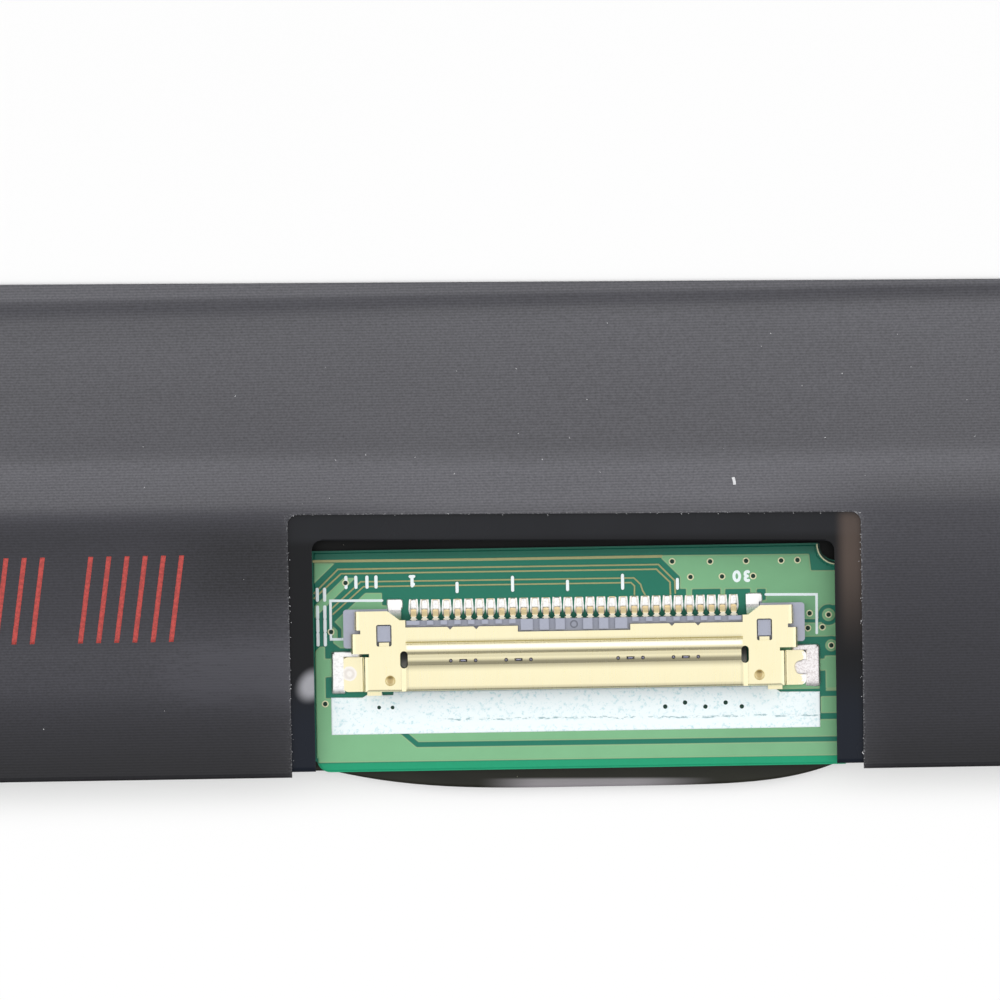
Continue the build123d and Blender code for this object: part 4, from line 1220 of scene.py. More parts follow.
def bow_depth(across):
    """Depth of the bow: one less a power of the share of the way from its flat bottom to either end."""
    left = np.clip((BOW_FLAT_LEFT - across) / (BOW_FLAT_LEFT - BOW_LEFT), 0, 1) ** BOW_LEFT_POWER
    right = np.clip((across - BOW_FLAT_RIGHT) / (BOW_RIGHT - BOW_FLAT_RIGHT), 0, 1) ** BOW_RIGHT_POWER
    return sizes().crescent_depth / MM * (1 - left - right)


def build_front_tape():
    """Front tape: a band over the glass ledge, a flap under the board and the bow past the board."""
    middle = SOCKET_X / MM
    band_half = FRONT_HIGH.x / MM
    flap_half = BOARD_HIGH.x / MM + FLAP_BEYOND
    top = (FRONT_HIGH.y - BOARD_EDGE) / MM
    thick = (FRONT_HIGH.z - FRONT_LOW.z) / MM
    bow = np.linspace(BOW_LEFT, BOW_RIGHT, 121)
    side = np.linspace(flap_half, band_half, 4)[1:]
    left_flap = np.linspace(-flap_half, middle + BOW_LEFT - BOW_HEM, 30)
    right_flap = np.linspace(middle + BOW_RIGHT + BOW_HEM, flap_half, 12)
    left_columns = np.concatenate([-side[::-1], left_flap]) - middle
    right_columns = np.concatenate([right_flap, side]) - middle
    columns = np.concatenate([left_columns, bow, right_columns])
    dense = 0.16
    share = np.concatenate([np.linspace(0, dense, 12), np.linspace(dense, 1, 8)[1:]])[:, None]
    floor = FLAP_LOW - bow_depth(columns)
    lower = floor + share * (FLAP_TOP - floor)
    upper = FLAP_TOP + np.linspace(0, 1, 5)[1:, None] * (top - FLAP_TOP) * np.ones_like(columns)
    up = np.concatenate([lower, upper])
    across = np.broadcast_to(columns, up.shape)
    cells = np.ones((up.shape[0] - 1, up.shape[1] - 1), bool)
    wide = np.abs(columns + middle) > flap_half + 1e-6
    cells[: len(share) - 1] = ~(wide[1:] | wide[:-1])
    level = np.full(up.shape, FRONT_HIGH.z / MM)
    tape = material("front_tape_finish", front_tape_finish)
    piece, _ = sheet_piece("front_tape", across, up, level, cells, tape, thick * MM)
    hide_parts("front_cover_tape")


# Slanted red bars printed along the tape: middle of each mark from the socket's middle, in millimetres
MARK_MIDDLES = (-19.97, -26.25, -32.5, -38.8)
MARK_UP = 8.0


def build_marks():
    """Groups of slanted bars of red ink, lying just over the tape."""
    bars = 6
    pitch = 0.82
    height = 3.9
    width = 0.22
    lean = 0.55
    shares = np.linspace(0, 1, 24)
    profile = np.array([-0.5, 0.0, 0.5])
    middles = np.array(MARK_MIDDLES)[:, None] + (np.arange(bars) - (bars - 1) / 2) * pitch
    along = middles.reshape(-1, 1, 1) + lean * (shares[:, None] - 0.5) + width * profile
    up = MARK_UP + height * (shares[:, None] - 0.5) + 0 * along
    ink_height = 0.006
    points = on_board(np.stack([along, up], -1), tape_face(along, up) + ink_height - BOARD_FACE / MM)
    pattern = grid_faces(len(shares), len(profile))
    faces = repeated(pattern, len(points), len(shares) * len(profile))
    ink = material("red_mark_finish", marks_finish)
    piece = make_piece("red_marks", points.reshape(-1, 3), faces, ink)
    thicken(piece, ink_height * MM)


# Board copper: areas, the gaps cut through them, and tracks, as points across and up from the socket's
# middle and the board's lower edge in millimetres

BOARD_LEFT = -11.74
BOARD_RIGHT = 12.15
BOARD_CORNER = 0.62
COPPER_AREAS = (
    (
        (3.96, 9.60), (10.72, 9.55), (10.80, 8.80), (12.40, 8.78), (12.40, 3.42), (8.20, 3.42),
        (8.20, 7.95), (4.83, 7.95), (4.83, 8.60), (4.02, 9.42),
    ),
    ((-12.20, 9.50), (-10.75, 9.48), (-12.20, 8.11)),
    ((-10.40, 8.80), (-9.82, 8.80), (-12.20, 6.55), (-12.20, 7.12)),
    (
        (-9.43, 8.11), (-8.66, 8.10), (-8.66, 7.54), (-8.20, 7.52), (-8.20, 5.60), (-10.60, 5.60),
        (-10.92, 5.85), (-10.92, 6.75), (-10.55, 7.10),
    ),
    (
        (-12.20, 5.05), (-11.52, 5.71), (-11.28, 5.71), (-11.28, 3.37), (-7.0, 3.37), (-7.0, 2.20),
        (12.40, 2.20), (12.40, 0.39), (-12.20, 0.43),
    ),
    ((11.12, 3.42), (12.40, 3.42), (12.40, 2.10), (11.12, 2.10)),
)
COPPER_FINGERS = (
    (5.10, 5.39, 7.20, 8.10), (6.66, 6.89, 7.20, 8.10), (8.01, 8.32, 7.30, 8.10),
    (-11.40, -11.0, 4.30, 5.16),
)
COPPER_CUTS = (
    (4.70, 5.10, 7.40, 8.04), (5.39, 6.66, 7.00, 8.02), (6.89, 8.01, 7.00, 8.0),
    (8.32, 8.71, 7.48, 7.98), (11.50, 12.40, 6.42, 7.20), (10.15, 12.40, 4.93, 5.78),
    (11.07, 11.33, 4.79, 5.30), (11.10, 11.36, 3.13, 4.23), (11.10, 12.40, 3.09, 3.31),
    (11.10, 12.40, 2.05, 2.31),
)
COPPER_GAPS = (
    ((-8.30, 2.17), (-7.17, 1.19), (12.50, 1.14), 0.21),
    ((-10.86, 6.70), (-10.62, 6.45), (-10.62, 6.10), 0.16),
    ((10.10, 6.52), (10.95, 6.50), (11.20, 6.52), 0.14),
)
# Round pads in clear rings: middle, radius of the pad and of the ring
COPPER_PADS = ((11.55, 6.77, 0.30, 0.46), (11.65, 5.38, 0.28, 0.42))
# Plated half hole in the board's edge: its middle, and the radius kept clear of copper and of coating
HALF_HOLE = (11.94, 9.93)
HALF_HOLE_COPPER = 1.02
HALF_HOLE_COAT = 0.92
# Its lip and its wall: radius, first and last angle, width, and share of the copper's height
HALF_HOLE_LIP = (0.86, 178, 262, 0.065, 1.0)
HALF_HOLE_WALL = (0.79, 176, 264, 0.10, 0.6)
TRACKS = (
    (((-11.74, 9.57), (-4.20, 9.53), (4.05, 9.54)), 0.13),
    (((-11.74, 8.12), (-10.65, 9.19), (3.88, 9.17), (4.61, 8.42), (4.62, 7.86)), 0.078),
    (((-11.74, 7.89), (-10.51, 8.99), (3.78, 8.96), (4.39, 8.36), (4.40, 7.82)), 0.078),
    (((-10.95, 7.42), (-9.62, 8.61), (2.76, 8.58), (3.06, 8.28), (3.14, 8.0), (3.25, 7.82)), 0.072),
    (((-10.90, 7.16), (-9.50, 8.385), (2.62, 8.37), (2.78, 8.22), (2.77, 7.82)), 0.072),
)
VIAS = (
    (4.50, 9.30), (6.22, 9.27), (7.85, 9.27), (9.44, 9.26), (10.18, 9.27), (5.32, 8.58), (6.75, 8.58),
    (8.16, 8.58), (10.69, 6.85), (10.60, 6.18), (11.26, 6.21), (11.55, 6.77), (11.65, 5.38),
    (-11.00, 6.36), (-10.31, 8.57), (-11.32, 3.10),
)
# Vias: radius of the ring and of its filled hole, how far the ring stands proud of the copper, and the
# height of the domes that fill the holes in the coating and in the print
VIA_RING = 0.165
VIA_HOLE = 0.10
VIA_PROUD = 0.012
VIA_DOME = 0.010
PRINT_VIA_DOME = 0.012
# Holes in the print: middle and radius
PRINT_VIAS = (
    (-8.88, 2.90, 0.085), (-8.27, 2.89, 0.085), (4.08, 2.73, 0.10), (4.98, 2.90, 0.10),
    (5.90, 2.70, 0.10), (6.82, 2.87, 0.10), (7.55, 2.68, 0.10),
)
# Coating: its thickness, its lower and upper ends, and the width over which it climbs on to the copper
COPPER_BASE = 0.006
COAT_LOW = 0.06
COAT_HIGH = 9.98
COPPER_SLOPE = 0.05
# Width of the sloping rim of tracks and print
PLATE_RIM = 0.012
# Print over copper edges: width, slope and height of the ridges
RIDGE_WIDTH = 0.20
RIDGE_SLOPE = 0.12
RIDGE_HEIGHT = 0.004


def build_copper():
    """Etched copper under its coating: a height field that rises where the signed distance is positive.

    The distance is that to the areas and fingers, less the cuts, gaps and clear rings, plus the round pads.
    """
    fine = 0.065
    columns = np.arange(BOARD_LEFT, BOARD_RIGHT, fine)
    rows = np.arange(COAT_LOW, COAT_HIGH, fine)
    across, up = np.meshgrid(columns, rows)
    copper = np.full(across.shape, -1.0)
    for area in COPPER_AREAS:
        copper = np.maximum(copper, cell_outline_distance(across, up, area))
    for box in COPPER_FINGERS:
        copper = np.maximum(copper, box_distance(across, up, box))
    for box in COPPER_CUTS:
        copper = np.minimum(copper, -box_distance(across, up, box))
    for *path, width in COPPER_GAPS:
        copper = np.minimum(copper, -line_distance(across, up, path, width))
    for u, v, pad, ring in COPPER_PADS:
        away = np.hypot(across - u, up - v)
        copper = np.maximum(np.minimum(copper, away - ring), pad - away)
    hole = np.hypot(across - HALF_HOLE[0], up - HALF_HOLE[1])
    copper = np.minimum(copper, hole - HALF_HOLE_COPPER)
    height = sizes().copper_height / MM
    rise = np.clip(copper / COPPER_SLOPE, 0, 1)
    level = COPPER_BASE + height * rise * rise * (3 - 2 * rise)
    corner_across = np.clip(across - BOARD_LEFT - BOARD_CORNER, -BOARD_CORNER, 0)
    corner_up = np.minimum(up - BOARD_CORNER, 0)
    kept = (hole > HALF_HOLE_COAT) & (np.hypot(corner_across, corner_up) <= BOARD_CORNER)
    cells = kept[1:, 1:] & kept[1:, :-1] & kept[:-1, 1:] & kept[:-1, :-1]
    coat = material("coated_copper_finish", copper_finish)
    level = level + BOARD_FACE / MM
    piece, used = sheet_piece(
        "board_copper", across, up, level, cells, coat, COPPER_BASE * MM
    )
    paint(piece, "copper", np.clip(copper, -0.3, 0.3).ravel()[used])
    tracks = [stroke(path, width) for path, width in TRACKS]
    thin = material("track_finish", trace_finish)
    points, faces = plates(tracks, COPPER_BASE, height * 0.8, PLATE_RIM)
    make_piece("board_tracks", points, faces, thin, smooth=False)


def build_vias():
    """Cream via rings with dark filled holes, and the thin lip and dark wall of the plated half hole."""
    height = sizes().copper_height / MM
    cream = material("via_ring_finish", sheet_finish, linear(226, 226, 186), 0.35)
    ring_rows = [(u, v, 0.9 * VIA_HOLE, VIA_RING) for u, v in VIAS]
    points, faces = rings(ring_rows, COPPER_BASE, height + VIA_PROUD)
    make_piece("via_rings", points, faces, cream)
    hole_rows = [(u, v, VIA_HOLE, VIA_DOME) for u, v in VIAS]
    hole_rows += [(u, v, radius, PRINT_VIA_DOME) for u, v, radius in PRINT_VIAS]
    points, faces = domes(hole_rows, COPPER_BASE + height + RIDGE_HEIGHT + sizes().print_height / MM)
    dark = material("filled_via_finish", drill_finish)
    make_piece("via_fillings", points, faces, dark)
    rims = (("half_hole_lip", HALF_HOLE_LIP, cream), ("half_hole_wall", HALF_HOLE_WALL, dark))
    for name, (radius, start, end, width, share), finish in rims:
        line = arc(HALF_HOLE, radius, start, end, 15)
        points, faces = plates([stroke(line, width)], COPPER_BASE, share * height, PLATE_RIM)
        make_piece(name, points, faces, finish, smooth=False)


# White print, across and up in millimetres: the block's lower edge, ticks (across, low, high) and lines

PRINT_LOW = 1.69
# Upper edge of the print block, with a gap beside the shell's front foot
PRINT_TOP = (
    (-11.05, 3.38), (-9.62, 3.36), (-9.20, 3.62), (-8.74, 3.62), (-8.72, 3.46), (-8.23, 3.46),
    (-8.21, 3.62), (8.90, 3.62), (9.30, 3.32), (11.09, 3.30),
)
PRINT_TICKS = (
    (-5.26, 8.09, 8.47), (-2.745, 8.11, 8.70), (-0.255, 8.10, 8.48), (2.24, 8.12, 8.71),
    (4.725, 8.08, 8.48),
)
PRINT_LINES = (
    ((-8.67, 7.74), (-11.01, 7.77), (-11.01, 6.02), (-10.40, 6.02)),
    ((8.72, 7.73), (11.02, 7.70), (11.0, 5.95)),
)
# Copper edges that lift the print: paths across and up
PRINT_RIDGES = (
    ((-9.32, 3.40), (-9.33, 2.57), (-8.71, 2.33), (-7.77, 1.70)),
    ((-8.20, 3.50), (-6.82, 2.30), (-6.5, 2.12), (9.2, 2.06), (9.5, 2.1)),
    ((7.35, 3.46), (8.78, 2.38)),
)
# Plain white bars left of the socket and above its left end: across, lower end and upper end
PRINT_BARS = (
    *((u, low, low + 0.50) for low in (5.78, 6.39, 7.00, 7.80) for u in (-11.60, -11.27)),
    *((u, 8.36, 8.82) for u in (-10.29, -9.84, -9.34, -8.93)),
)
TICK_WIDTH = 0.145
LINE_WIDTH = 0.12
PRINT_BAR_WIDTH = 0.15
# Pin numbers: middle, height and width of stroke
PIN_ONE = ((-7.295, 8.60), 0.42, 0.15)
PIN_THIRTY = ((7.66, 8.58), 0.41, 0.14)


def numeral_one(centre, height):
    """The figure 1 turned half round: a stem with a foot and a short flag."""
    u, v = centre
    half = height / 2
    foot_half = 0.08
    flag_across, flag_up = 0.06, 0.07
    stem = ((u, v + half), (u, v - half))
    foot = ((u - foot_half, v + half), (u + foot_half, v + half))
    flag = ((u, v - half), (u + flag_across, v - half + flag_up))
    return [stem, foot, flag]


def numeral_thirty(centre, height):
    """The figure 30 turned half round: an oval on the left and two open bows on the right."""
    u, v = centre
    half = height / 2
    aside = 0.24
    oval_half = 0.13
    turn = np.linspace(math.pi / 2, 3 * math.pi / 2, 13)
    high = v + half * np.sin(turn)
    bows = [np.stack([u - aside + side * np.cos(turn), high], -1) for side in (oval_half, -oval_half)]
    upper = arc((u + aside, v + half / 2), half / 2, 60, 270, 13)
    lower = arc((u + aside, v - half / 2), half / 2, 90, 300, 13)
    return [*bows, upper, lower]


def build_print():
    """White print on the board: the block below the socket, ticks, pin numbers, outlines and plain bars."""
    height = sizes().print_height / MM
    base = COPPER_BASE + sizes().copper_height / MM
    ink = material("board_print_finish", print_finish)
    top = np.array(PRINT_TOP)
    columns = np.unique(np.concatenate([np.linspace(top[0, 0], top[-1, 0], 330), top[:, 0]]))
    share = np.linspace(0, 1, 26)[:, None]
    up = PRINT_LOW + share * (np.interp(columns, top[:, 0], top[:, 1]) - PRINT_LOW)
    across = np.broadcast_to(columns, up.shape)
    ridge = np.full(up.shape, -1.0)
    for path in PRINT_RIDGES:
        ridge = np.maximum(ridge, line_distance(across, up, path, RIDGE_WIDTH))
    ridge = np.clip(0.5 + ridge / RIDGE_SLOPE, 0, 1)
    level = BOARD_FACE / MM + base + height + RIDGE_HEIGHT * ridge
    cells = np.ones((up.shape[0] - 1, up.shape[1] - 1), bool)
    piece, used = sheet_piece("print_block", across, up, level, cells, ink, height * MM)
    paint(piece, "ridge", ridge.ravel()[used])
    paths = [(((u, low), (u, high)), TICK_WIDTH) for u, low, high in PRINT_TICKS]
    paths += [(path, LINE_WIDTH) for path in PRINT_LINES]
    for numeral, (centre, tall, width) in ((numeral_one, PIN_ONE), (numeral_thirty, PIN_THIRTY)):
        paths += [(path, width) for path in numeral(centre, tall)]
    paths += [(((u, low), (u, high)), PRINT_BAR_WIDTH) for u, low, high in PRINT_BARS]
    points, faces = plates([stroke(path, width) for path, width in paths], base, height, PLATE_RIM)
    strokes = make_piece("print_strokes", points, faces, ink, smooth=False)
    paint(strokes, "ridge", np.ones(len(points)))


# Solder

CONTACT_COUNT = 30
CONTACT_PITCH = 0.5


def build_tail_solder():
    """Solder over the contact feet: a flat core on each foot, a steep step beside it and hollow flanks.

    Beyond the step the height is the flank's height times (1 - share) ** hollow, by the share of the way to
    the outer edge. Before the foot only the flanks go on, on both sides of the contact's slope.
    """
    flat, step, reach = 0.108, 0.130, 0.218
    hollow = 1.8
    outer = np.linspace(step, reach, 7)
    side = np.concatenate([-outer[::-1], [-flat, 0.0, flat], outer])
    flank = np.clip(1 - (np.abs(side) - step) / (reach - step), 0, 1) ** hollow
    middle_part = np.abs(side) <= flat
    along = np.array([7.03, 7.10, 7.18, 7.295, 7.30, 7.36, 7.45, 7.60, 7.70, 7.75, 7.77])
    core_height = np.array([0.01, 0.01, 0.01, 0.01, 0.095, 0.105, 0.108, 0.108, 0.102, 0.075, 0.012])
    flank_height = np.array([0.015, 0.035, 0.050, 0.058, 0.058, 0.056, 0.052, 0.046, 0.040, 0.025, 0.006])
    narrow = np.array([0.78, 0.90, 1.0, 1.06, 1.06, 1.06, 1.02, 0.96, 0.92, 0.88, 0.80])
    section = np.where(middle_part, core_height[:, None], flank_height[:, None] * flank)
    rng = np.random.default_rng(3)
    stacks = []
    for number in range(CONTACT_COUNT):
        middle = (number - (CONTACT_COUNT - 1) / 2) * CONTACT_PITCH
        across = middle + narrow[:, None] * side
        up = along[:, None] + rng.normal(0, 0.010) + 0 * across
        level = COPPER_BASE + rng.uniform(0.94, 1.04) * section
        stacks.append(on_board(np.stack([across, up], -1), level))
    points, faces = loft(stacks)
    tin = material("solder_finish", solder_finish)
    make_piece("tail_solder", points, faces, tin)


def pool(centre, reach, height, power, seed, wobble):
    """A flat pool of solder: its outline is a superellipse with a slight wobble, its edge is steep.

    The outline's radius is (|cos|^p + |sin|^p)^(-1/p); the height is one minus the eighth power of the
    share of the radius.
    """
    steps = 72
    turn = np.linspace(0, math.tau, steps, endpoint=False)
    rng = np.random.default_rng(seed)
    cosine, sine = np.cos(turn), np.sin(turn)
    radius = (np.abs(cosine) ** power + np.abs(sine) ** power) ** (-1 / power)
    for order in range(3, 9):
        depth = wobble * rng.normal()
        phase = rng.uniform(0, math.tau)
        radius = radius * (1 + depth * np.cos(order * turn + phase) / order)
    share = np.array([1.0, 0.97, 0.93, 0.88, 0.80, 0.70, 0.55, 0.35, 0.12])[:, None]
    across = centre[0] + reach[0] * share * radius * cosine
    up = centre[1] + reach[1] * share * radius * sine
    lumps = 1 + 0.04 * np.cos(3 * turn + seed) * share
    level = COPPER_BASE + height * (1 - share**8) * lumps
    return on_board(np.stack([across, up], -1), level)


# Solder pools: middle, half sizes and height in millimetres, power of the outline, seed and wobble
BRIGHT_POOLS = (
    ((-10.70, 4.50), (0.33, 0.97), 0.165, 12.0, 2, 0.010),
    ((-10.30, 5.33), (0.71, 0.15), 0.150, 10.0, 4, 0.015),
    ((-8.10, 7.56), (0.37, 0.26), 0.10, 6.0, 13, 0.02),
    ((8.20, 7.58), (0.37, 0.26), 0.10, 6.0, 17, 0.02),
)
GRAINY_POOLS = (
    ((10.79, 4.48), (0.36, 0.96), 0.172, 12.0, 6, 0.015),
    ((10.34, 4.42), (0.46, 0.41), 0.185, 2.3, 8, 0.05),
    ((10.45, 5.31), (0.66, 0.15), 0.150, 10.0, 9, 0.015),
)


def build_solder_pools():
    """Solder round the shell's lugs and rear legs."""
    joints = (
        ("bright_lug_solder", BRIGHT_POOLS, material("solder_finish", solder_finish)),
        ("grainy_lug_solder", GRAINY_POOLS, material("grainy_solder_finish", grainy_solder_finish)),
    )
    for name, table, tin in joints:
        points, faces = loft([pool(*row) for row in table])
        make_piece(name, points, faces, tin)


# Grey plastic seen through the shell's finger holes: distances of the pairs of holes from the socket's
# middle, half span of a pair, place up, and height
FINGER_PLACES = (2.53, 5.03)
FINGER_REACH = 0.56
FINGER_UP = 4.99
FINGER_LEVEL = 0.86
# Radius and height of a plug; half length, width and height of a bar
PLUG_SIZE = (0.075, 0.06)
BAR_HALF = 0.09
BAR_WIDTH = 0.09
BAR_HEIGHT = 0.05
# Metal in the shell's end slots: across, lower and upper end; width, foot and height
SLOT_ENDS = ((-7.71, 4.83, 5.31), (7.66, 4.79, 5.27))
SLOT_WIDTH = 0.30
SLOT_FOOT = 0.30
SLOT_HEIGHT = 0.10
PLUG_RIM = 0.02


def build_finger_plugs():
    """Round plugs in the finger holes, a bar between each pair and the metal deep in the end slots."""
    middles = [sign * place for sign in (-1, 1) for place in FINGER_PLACES]
    places = [middle + side * FINGER_REACH for middle in middles for side in (-1, 1)]
    grey_plastic = material("plug_finish", plastic_finish, linear(160, 160, 186), 0.4)
    points, faces = domes([(place, FINGER_UP, *PLUG_SIZE) for place in places], FINGER_LEVEL)
    make_piece("finger_plugs", points, faces, grey_plastic)
    spans = [((middle - BAR_HALF, FINGER_UP), (middle + BAR_HALF, FINGER_UP)) for middle in middles]
    bars = [stroke(span, BAR_WIDTH) for span in spans]
    points, faces = plates(bars, FINGER_LEVEL, BAR_HEIGHT, PLUG_RIM)
    make_piece("finger_bars", points, faces, grey_plastic, smooth=False)
    slots = [stroke(((u, low), (u, high)), SLOT_WIDTH) for u, low, high in SLOT_ENDS]
    points, faces = plates(slots, SLOT_FOOT, SLOT_HEIGHT, PLUG_RIM)
    dark = material("slot_sheen_and_shade_finish", slot_sheen_and_shade_finish)
    make_piece("slot_metal", points, faces, dark, smooth=False)


# Lint

# A white flake on the tape: across, up, length, half width and turn; then how far it bends
FLAKE = (7.32, 12.90, 0.34, 0.065, 1.75)
FLAKE_BEND = 0.2
# Height of a fibre's middle line over the tape, and the most that half its height may be
LINT_LIFT = 0.006
LINT_HALF = 0.012


def build_lint():
    """Loose fibres along the notch and on the tape, and one flake: four-sided tubes along bent lines."""
    count = sizes().lint_count
    rng = np.random.default_rng(21)
    left, right, head = TAPE_NOTCH
    kind = rng.integers(0, 4, count)
    share = rng.uniform(0, 1, count)
    jitter = rng.normal(-0.03, 0.03, count)
    spread_across = rng.uniform(-22, 20, count)
    spread_up = rng.uniform(head + 0.4, 21, count)
    along_head = -left + share * (left + right)
    places_across = np.choose(kind, [-left - jitter, right + jitter, along_head, spread_across])
    head_line = head - places_across * math.tan(sizes().tape_skew)
    beside = 0.4 + share * (head - 1.4)
    places_up = np.choose(kind, [beside, beside, head_line + jitter, spread_up])
    length = np.where(kind == 3, rng.uniform(0.03, 0.10, count), rng.uniform(0.02, 0.06, count))
    turn = np.where(kind == 2, rng.normal(0, 0.8, count), rng.normal(math.pi / 2, 0.8, count))
    bend = rng.normal(0, 1.2, count)
    thin = rng.uniform(0.006, 0.011, count)
    places_across[0], places_up[0], length[0], thin[0], turn[0] = FLAKE
    bend[0] = FLAKE_BEND
    steps = 6
    along = np.linspace(-0.5, 0.5, steps)
    heading = turn[:, None] + bend[:, None] * along
    line_across = places_across[:, None] + length[:, None] * along * np.cos(heading)
    line_up = places_up[:, None] + length[:, None] * along * np.sin(heading)
    level = tape_face(line_across, line_up)
    corner_across = np.array([-1, 1, 1, -1]) * thin[:, None, None]
    corner_level = np.array([-1, -1, 1, 1]) * np.minimum(thin, LINT_HALF)[:, None, None] + LINT_LIFT
    side_across = -np.sin(heading)[..., None] * corner_across
    side_up = np.cos(heading)[..., None] * corner_across
    flat = np.stack([line_across[..., None] + side_across, line_up[..., None] + side_up], -1)
    points = on_board(flat, level[..., None] + corner_level - BOARD_FACE / MM)
    pattern = grid_faces(steps, 4, around=True)
    ends = np.array([[3, 2, 1, 0], np.arange(4) + 4 * (steps - 1)])
    faces = repeated(np.concatenate([pattern, ends]), count, steps * 4)
    pale = material("lint_finish", lint_finish)
    make_piece("lint", points.reshape(-1, 3), faces, pale, smooth=False)


# Stage


def build_world():
    """White dome that dims low down before the panel's lower edge and brightens a little at both sides.

    Strength is level * (dusk + (1 - dusk) * rise(y)) + side * x * x for the direction (x, y, z), where
    rise is a smooth step.
    """
    light = bpy.context.scene.screen_panel_light
    world = bpy.data.worlds.new("studio_dome")
    bpy.context.scene.world = world
    dome = Finish(world)
    direction = dome.node("ShaderNodeTexCoord", output="Generated")
    rise = dome.part(direction, "Y").step(-0.95, -0.30)
    sideways = dome.part(direction, "X")
    strength = light.level * (light.dusk + (1 - light.dusk) * rise) + light.side * sideways * sideways
    white = (1.0, 1.0, 1.0, 1.0)
    glow = dome.node("ShaderNodeBackground", None, {"Color": white, "Strength": strength})
    dome.node("ShaderNodeOutputWorld", None, {"Surface": glow})


def floor_finish(finish):
    """Pale floor that keeps the panel's soft shadow; where it is seen it goes white away from the panel."""
    light = bpy.context.scene.screen_panel_light
    cloud = finish.noise(finish.place(), 0.004, 2.0)
    base = finish.mix(cloud, dimmed(light.floor, 0.99), light.floor)
    shadowed = finish.shader(base, Roughness=0.9, Specular_IOR_Level=0.1)
    white = finish.node("ShaderNodeEmission", None, {"Strength": 1.0})
    seen = 0.0
    for ray in ("Is Camera Ray", "Is Glossy Ray", "Is Transmission Ray"):
        seen = finish.node("ShaderNodeLightPath", None, None, ray).at_least(seen)
    place = finish.place()
    gap = 0.0
    for number, letter in enumerate("XY"):
        low, high = CAD_BOX[0][number] / MM, CAD_BOX[1][number] / MM
        gap = (abs(finish.part(place, letter) - (low + high) / 2) - (high - low) / 2).at_least(gap)
    away = gap.step(0.0, light.shadow_reach / MM)
    lift = light.floor_near + (light.floor_far - light.floor_near) * away
    lifted = finish.node("ShaderNodeMixShader", None, {0: lift * seen, 1: shadowed, 2: white})
    finish.output(lifted)


def build_floor():
    """A square floor just under the screen's face."""
    half = 3.0
    drop = 0.05 * MM
    side = np.linspace(-half, half, 3)
    across, up = np.meshgrid(side, side)
    points = np.stack([across, up, np.full(across.shape, -drop)], -1).reshape(-1, 3)
    mesh = bpy.data.meshes.new("floor")
    mesh.from_pydata(points.tolist(), [], grid_faces(3, 3).tolist())
    mesh.materials.append(material("floor_finish", floor_finish))
    floor = bpy.data.objects.new("floor", mesh)
    bpy.context.scene.collection.objects.link(floor)


def build_camera():
    """Camera straight above the socket, turned a little so that the panel rises to the right."""
    light = bpy.context.scene.screen_panel_light
    data = bpy.data.cameras.new("camera")
    data.lens = light.lens
    distance = light.view_width * data.lens / data.sensor_width
    camera = bpy.data.objects.new("camera", data)
    bpy.context.scene.collection.objects.link(camera)
    camera.location = (SOCKET_X + light.aim_across, BOARD_EDGE + light.aim_up, BOARD_FACE + distance)
    camera.rotation_euler = (0, 0, light.roll)
    data.clip_start = 0.01
    data.clip_end = 20
    bpy.context.scene.camera = camera


def dress(names, finish):
    """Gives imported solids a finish."""
    for name in names:
        solid = frame["nodes"][name]
        solid.data.materials.clear()
        solid.data.materials.append(finish)


# Operators


class SCREENPANEL_OT_stack(Operator):
    """Finish the display glass, its polarisers and the light-guiding sheets"""

    bl_idname = "screen_panel.dress_stack"
    bl_label = "Dress Glass and Sheets"

    def execute(self, context):
        milky = material("milky_sheet_finish", sheet_finish, linear(232, 233, 234), 0.4)
        clear = material("light_guide_finish", sheet_finish, linear(236, 240, 242), 0.15)
        dress(["front_polariser", "rear_polariser"], material("screen_finish", screen_finish))
        dress(["colour_filter_glass", "array_glass"], material("cell_glass_finish", glass_finish))
        dress(["prism_sheet_upper", "prism_sheet_lower", "diffuser_sheet"], milky)
        dress(["light_guide_plate"], clear)
        return {"FINISHED"}


class SCREENPANEL_OT_backlight(Operator):
    """Finish the rear reflector, the moulded frame, the lamps and the black adhesive"""

    bl_idname = "screen_panel.dress_backlight"
    bl_label = "Dress Frame and Reflector"

    def execute(self, context):
        dark = material("frame_plastic_finish", plastic_finish, colours().frame, 0.5, 0.15)
        glue = material("adhesive_finish", plastic_finish, linear(30, 30, 32), 0.6)
        flex = material("lamp_flex_finish", sheet_finish, linear(236, 236, 232), 0.4)
        lamp = material("lamp_finish", plastic_finish, linear(242, 238, 214), 0.4)
        dress(["reflector_sheet"], material("reflector_finish", reflector_finish))
        dress(["mould_frame"], dark)
        dress(["rim_tape", "reflector_adhesive"], glue)
        dress(["led_flex"], flex)
        dress(["leds"], lamp)
        return {"FINISHED"}


class SCREENPANEL_OT_board(Operator):
    """Finish the board and the parts on it, and the films that join it to the glass"""

    bl_idname = "screen_panel.dress_board"
    bl_label = "Dress Board"

    def execute(self, context):
        black = material("chip_finish", chip_finish, linear(42, 42, 44))
        tan = material("capacitor_finish", chip_finish, linear(172, 148, 120))
        dull = material("inductor_finish", chip_finish, linear(92, 92, 94))
        amber = material("carrier_film_finish", sheet_finish, linear(152, 112, 66), 0.3)
        pale = material("socket_plastic_finish", plastic_finish, colours().housing, 0.45)
        numbers = range(1, 5)
        chips = ["timing_controller", "power_converter", "led_driver", "memory_chip", "chip_resistors"]
        dress(["circuit_board"], material("board_finish", board_finish))
        dress(chips, black)
        dress([f"driver_chip_{number}" for number in numbers], black)
        dress([f"source_film_{number}" for number in numbers], amber)
        dress(["ceramic_capacitors"], tan)
        dress(["power_inductors"], dull)
        dress(["backlight_socket"], pale)
        return {"FINISHED"}


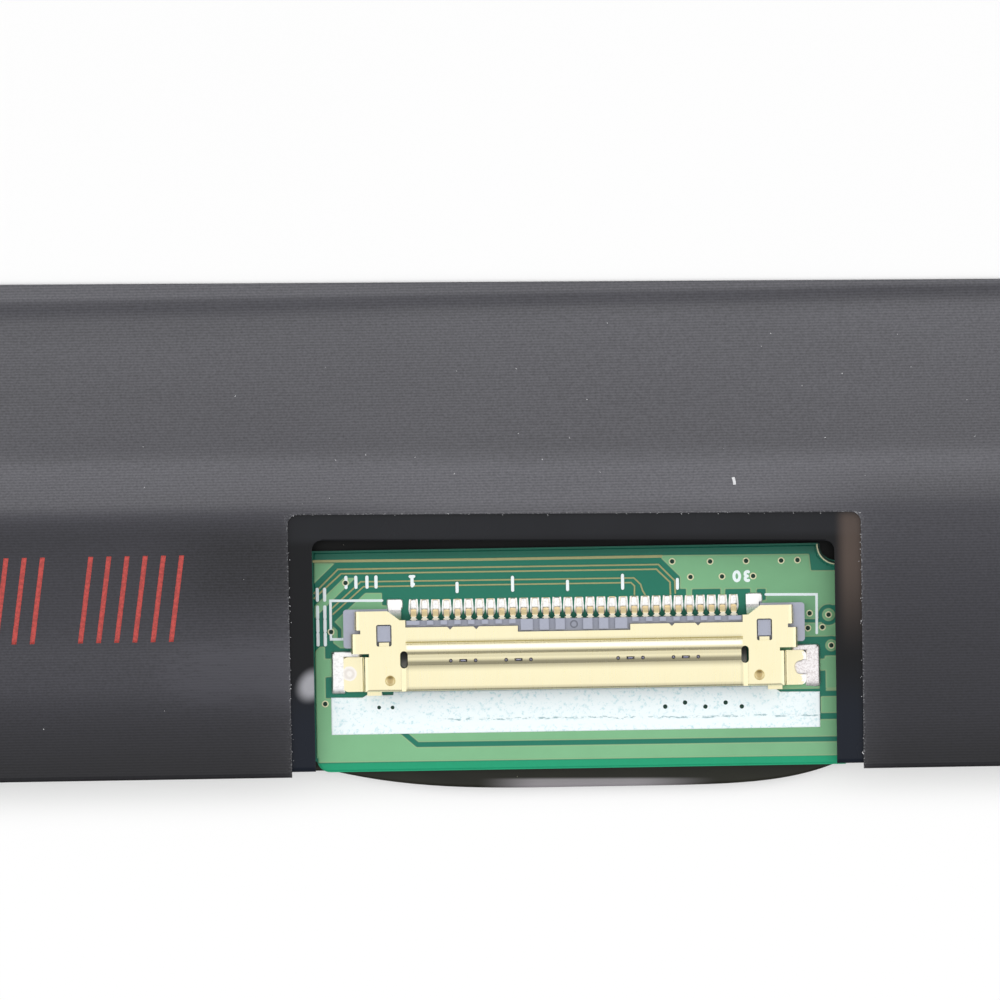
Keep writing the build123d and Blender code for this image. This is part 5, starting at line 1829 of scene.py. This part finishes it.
class SCREENPANEL_OT_socket(Operator):
    """Finish the signal socket: shell, housing and contacts"""

    bl_idname = "screen_panel.dress_socket"
    bl_label = "Dress Socket"

    def execute(self, context):
        dress(["connector_shell"], material("gold_plate_finish", gold_finish))
        dress(["connector_contacts"], material("contact_finish", contact_finish))
        dress(["connector_housing"], material("housing_finish", housing_finish))
        return {"FINISHED"}


class SCREENPANEL_OT_copper(Operator):
    """Add the board's coated copper, tracks and vias"""

    bl_idname = "screen_panel.add_copper"
    bl_label = "Add Board Copper"

    def execute(self, context):
        build_copper()
        build_vias()
        return {"FINISHED"}


class SCREENPANEL_OT_print(Operator):
    """Add the white print on the board"""

    bl_idname = "screen_panel.add_print"
    bl_label = "Add Board Print"

    def execute(self, context):
        build_print()
        return {"FINISHED"}


class SCREENPANEL_OT_solder(Operator):
    """Add the solder joints of the socket and the plastic seen through its holes"""

    bl_idname = "screen_panel.add_solder"
    bl_label = "Add Solder"

    def execute(self, context):
        build_tail_solder()
        build_solder_pools()
        build_finger_plugs()
        return {"FINISHED"}


class SCREENPANEL_OT_film(Operator):
    """Add the black film round the socket and the front tape under the board"""

    bl_idname = "screen_panel.add_film"
    bl_label = "Add Films"

    def execute(self, context):
        build_film()
        build_front_tape()
        return {"FINISHED"}


class SCREENPANEL_OT_tape(Operator):
    """Add the cover tape with its red marks and lint"""

    bl_idname = "screen_panel.add_tape"
    bl_label = "Add Cover Tape"

    def execute(self, context):
        build_tape()
        build_marks()
        build_lint()
        return {"FINISHED"}


class SCREENPANEL_OT_stage(Operator):
    """Set the floor, the light and the camera"""

    bl_idname = "screen_panel.set_stage"
    bl_label = "Set Stage"

    def execute(self, context):
        build_world()
        build_floor()
        build_camera()
        context.scene.view_settings.view_transform = "Standard"
        return {"FINISHED"}


STEPS = (
    SCREENPANEL_OT_stage,
    SCREENPANEL_OT_stack,
    SCREENPANEL_OT_backlight,
    SCREENPANEL_OT_board,
    SCREENPANEL_OT_copper,
    SCREENPANEL_OT_print,
    SCREENPANEL_OT_socket,
    SCREENPANEL_OT_solder,
    SCREENPANEL_OT_film,
    SCREENPANEL_OT_tape,
)


class SCREENPANEL_PT_sidebar(Panel):
    """Lists the steps in the order in which they run"""

    bl_label = "Screen Panel"
    bl_space_type = "VIEW_3D"
    bl_region_type = "UI"
    bl_category = "Screen Panel"

    def draw(self, context):
        for step in STEPS:
            self.layout.operator(step.bl_idname)


GROUPS = {
    "screen_panel_sizes": ScreenPanelSizes,
    "screen_panel_colours": ScreenPanelColours,
    "screen_panel_light": ScreenPanelLight,
}
CLASSES = (*GROUPS.values(), *STEPS, SCREENPANEL_PT_sidebar)


def register():
    for item in CLASSES:
        bpy.utils.register_class(item)
    for name, group in GROUPS.items():
        setattr(bpy.types.Scene, name, PointerProperty(type=group))


def unregister():
    for name in GROUPS:
        delattr(bpy.types.Scene, name)
    for item in reversed(CLASSES):
        bpy.utils.unregister_class(item)


def main():
    """Registers the add-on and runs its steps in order."""
    register()
    for step in STEPS:
        group, name = step.bl_idname.split(".")
        getattr(getattr(bpy.ops, group), name)()


if __name__ == "__main__":
    main()
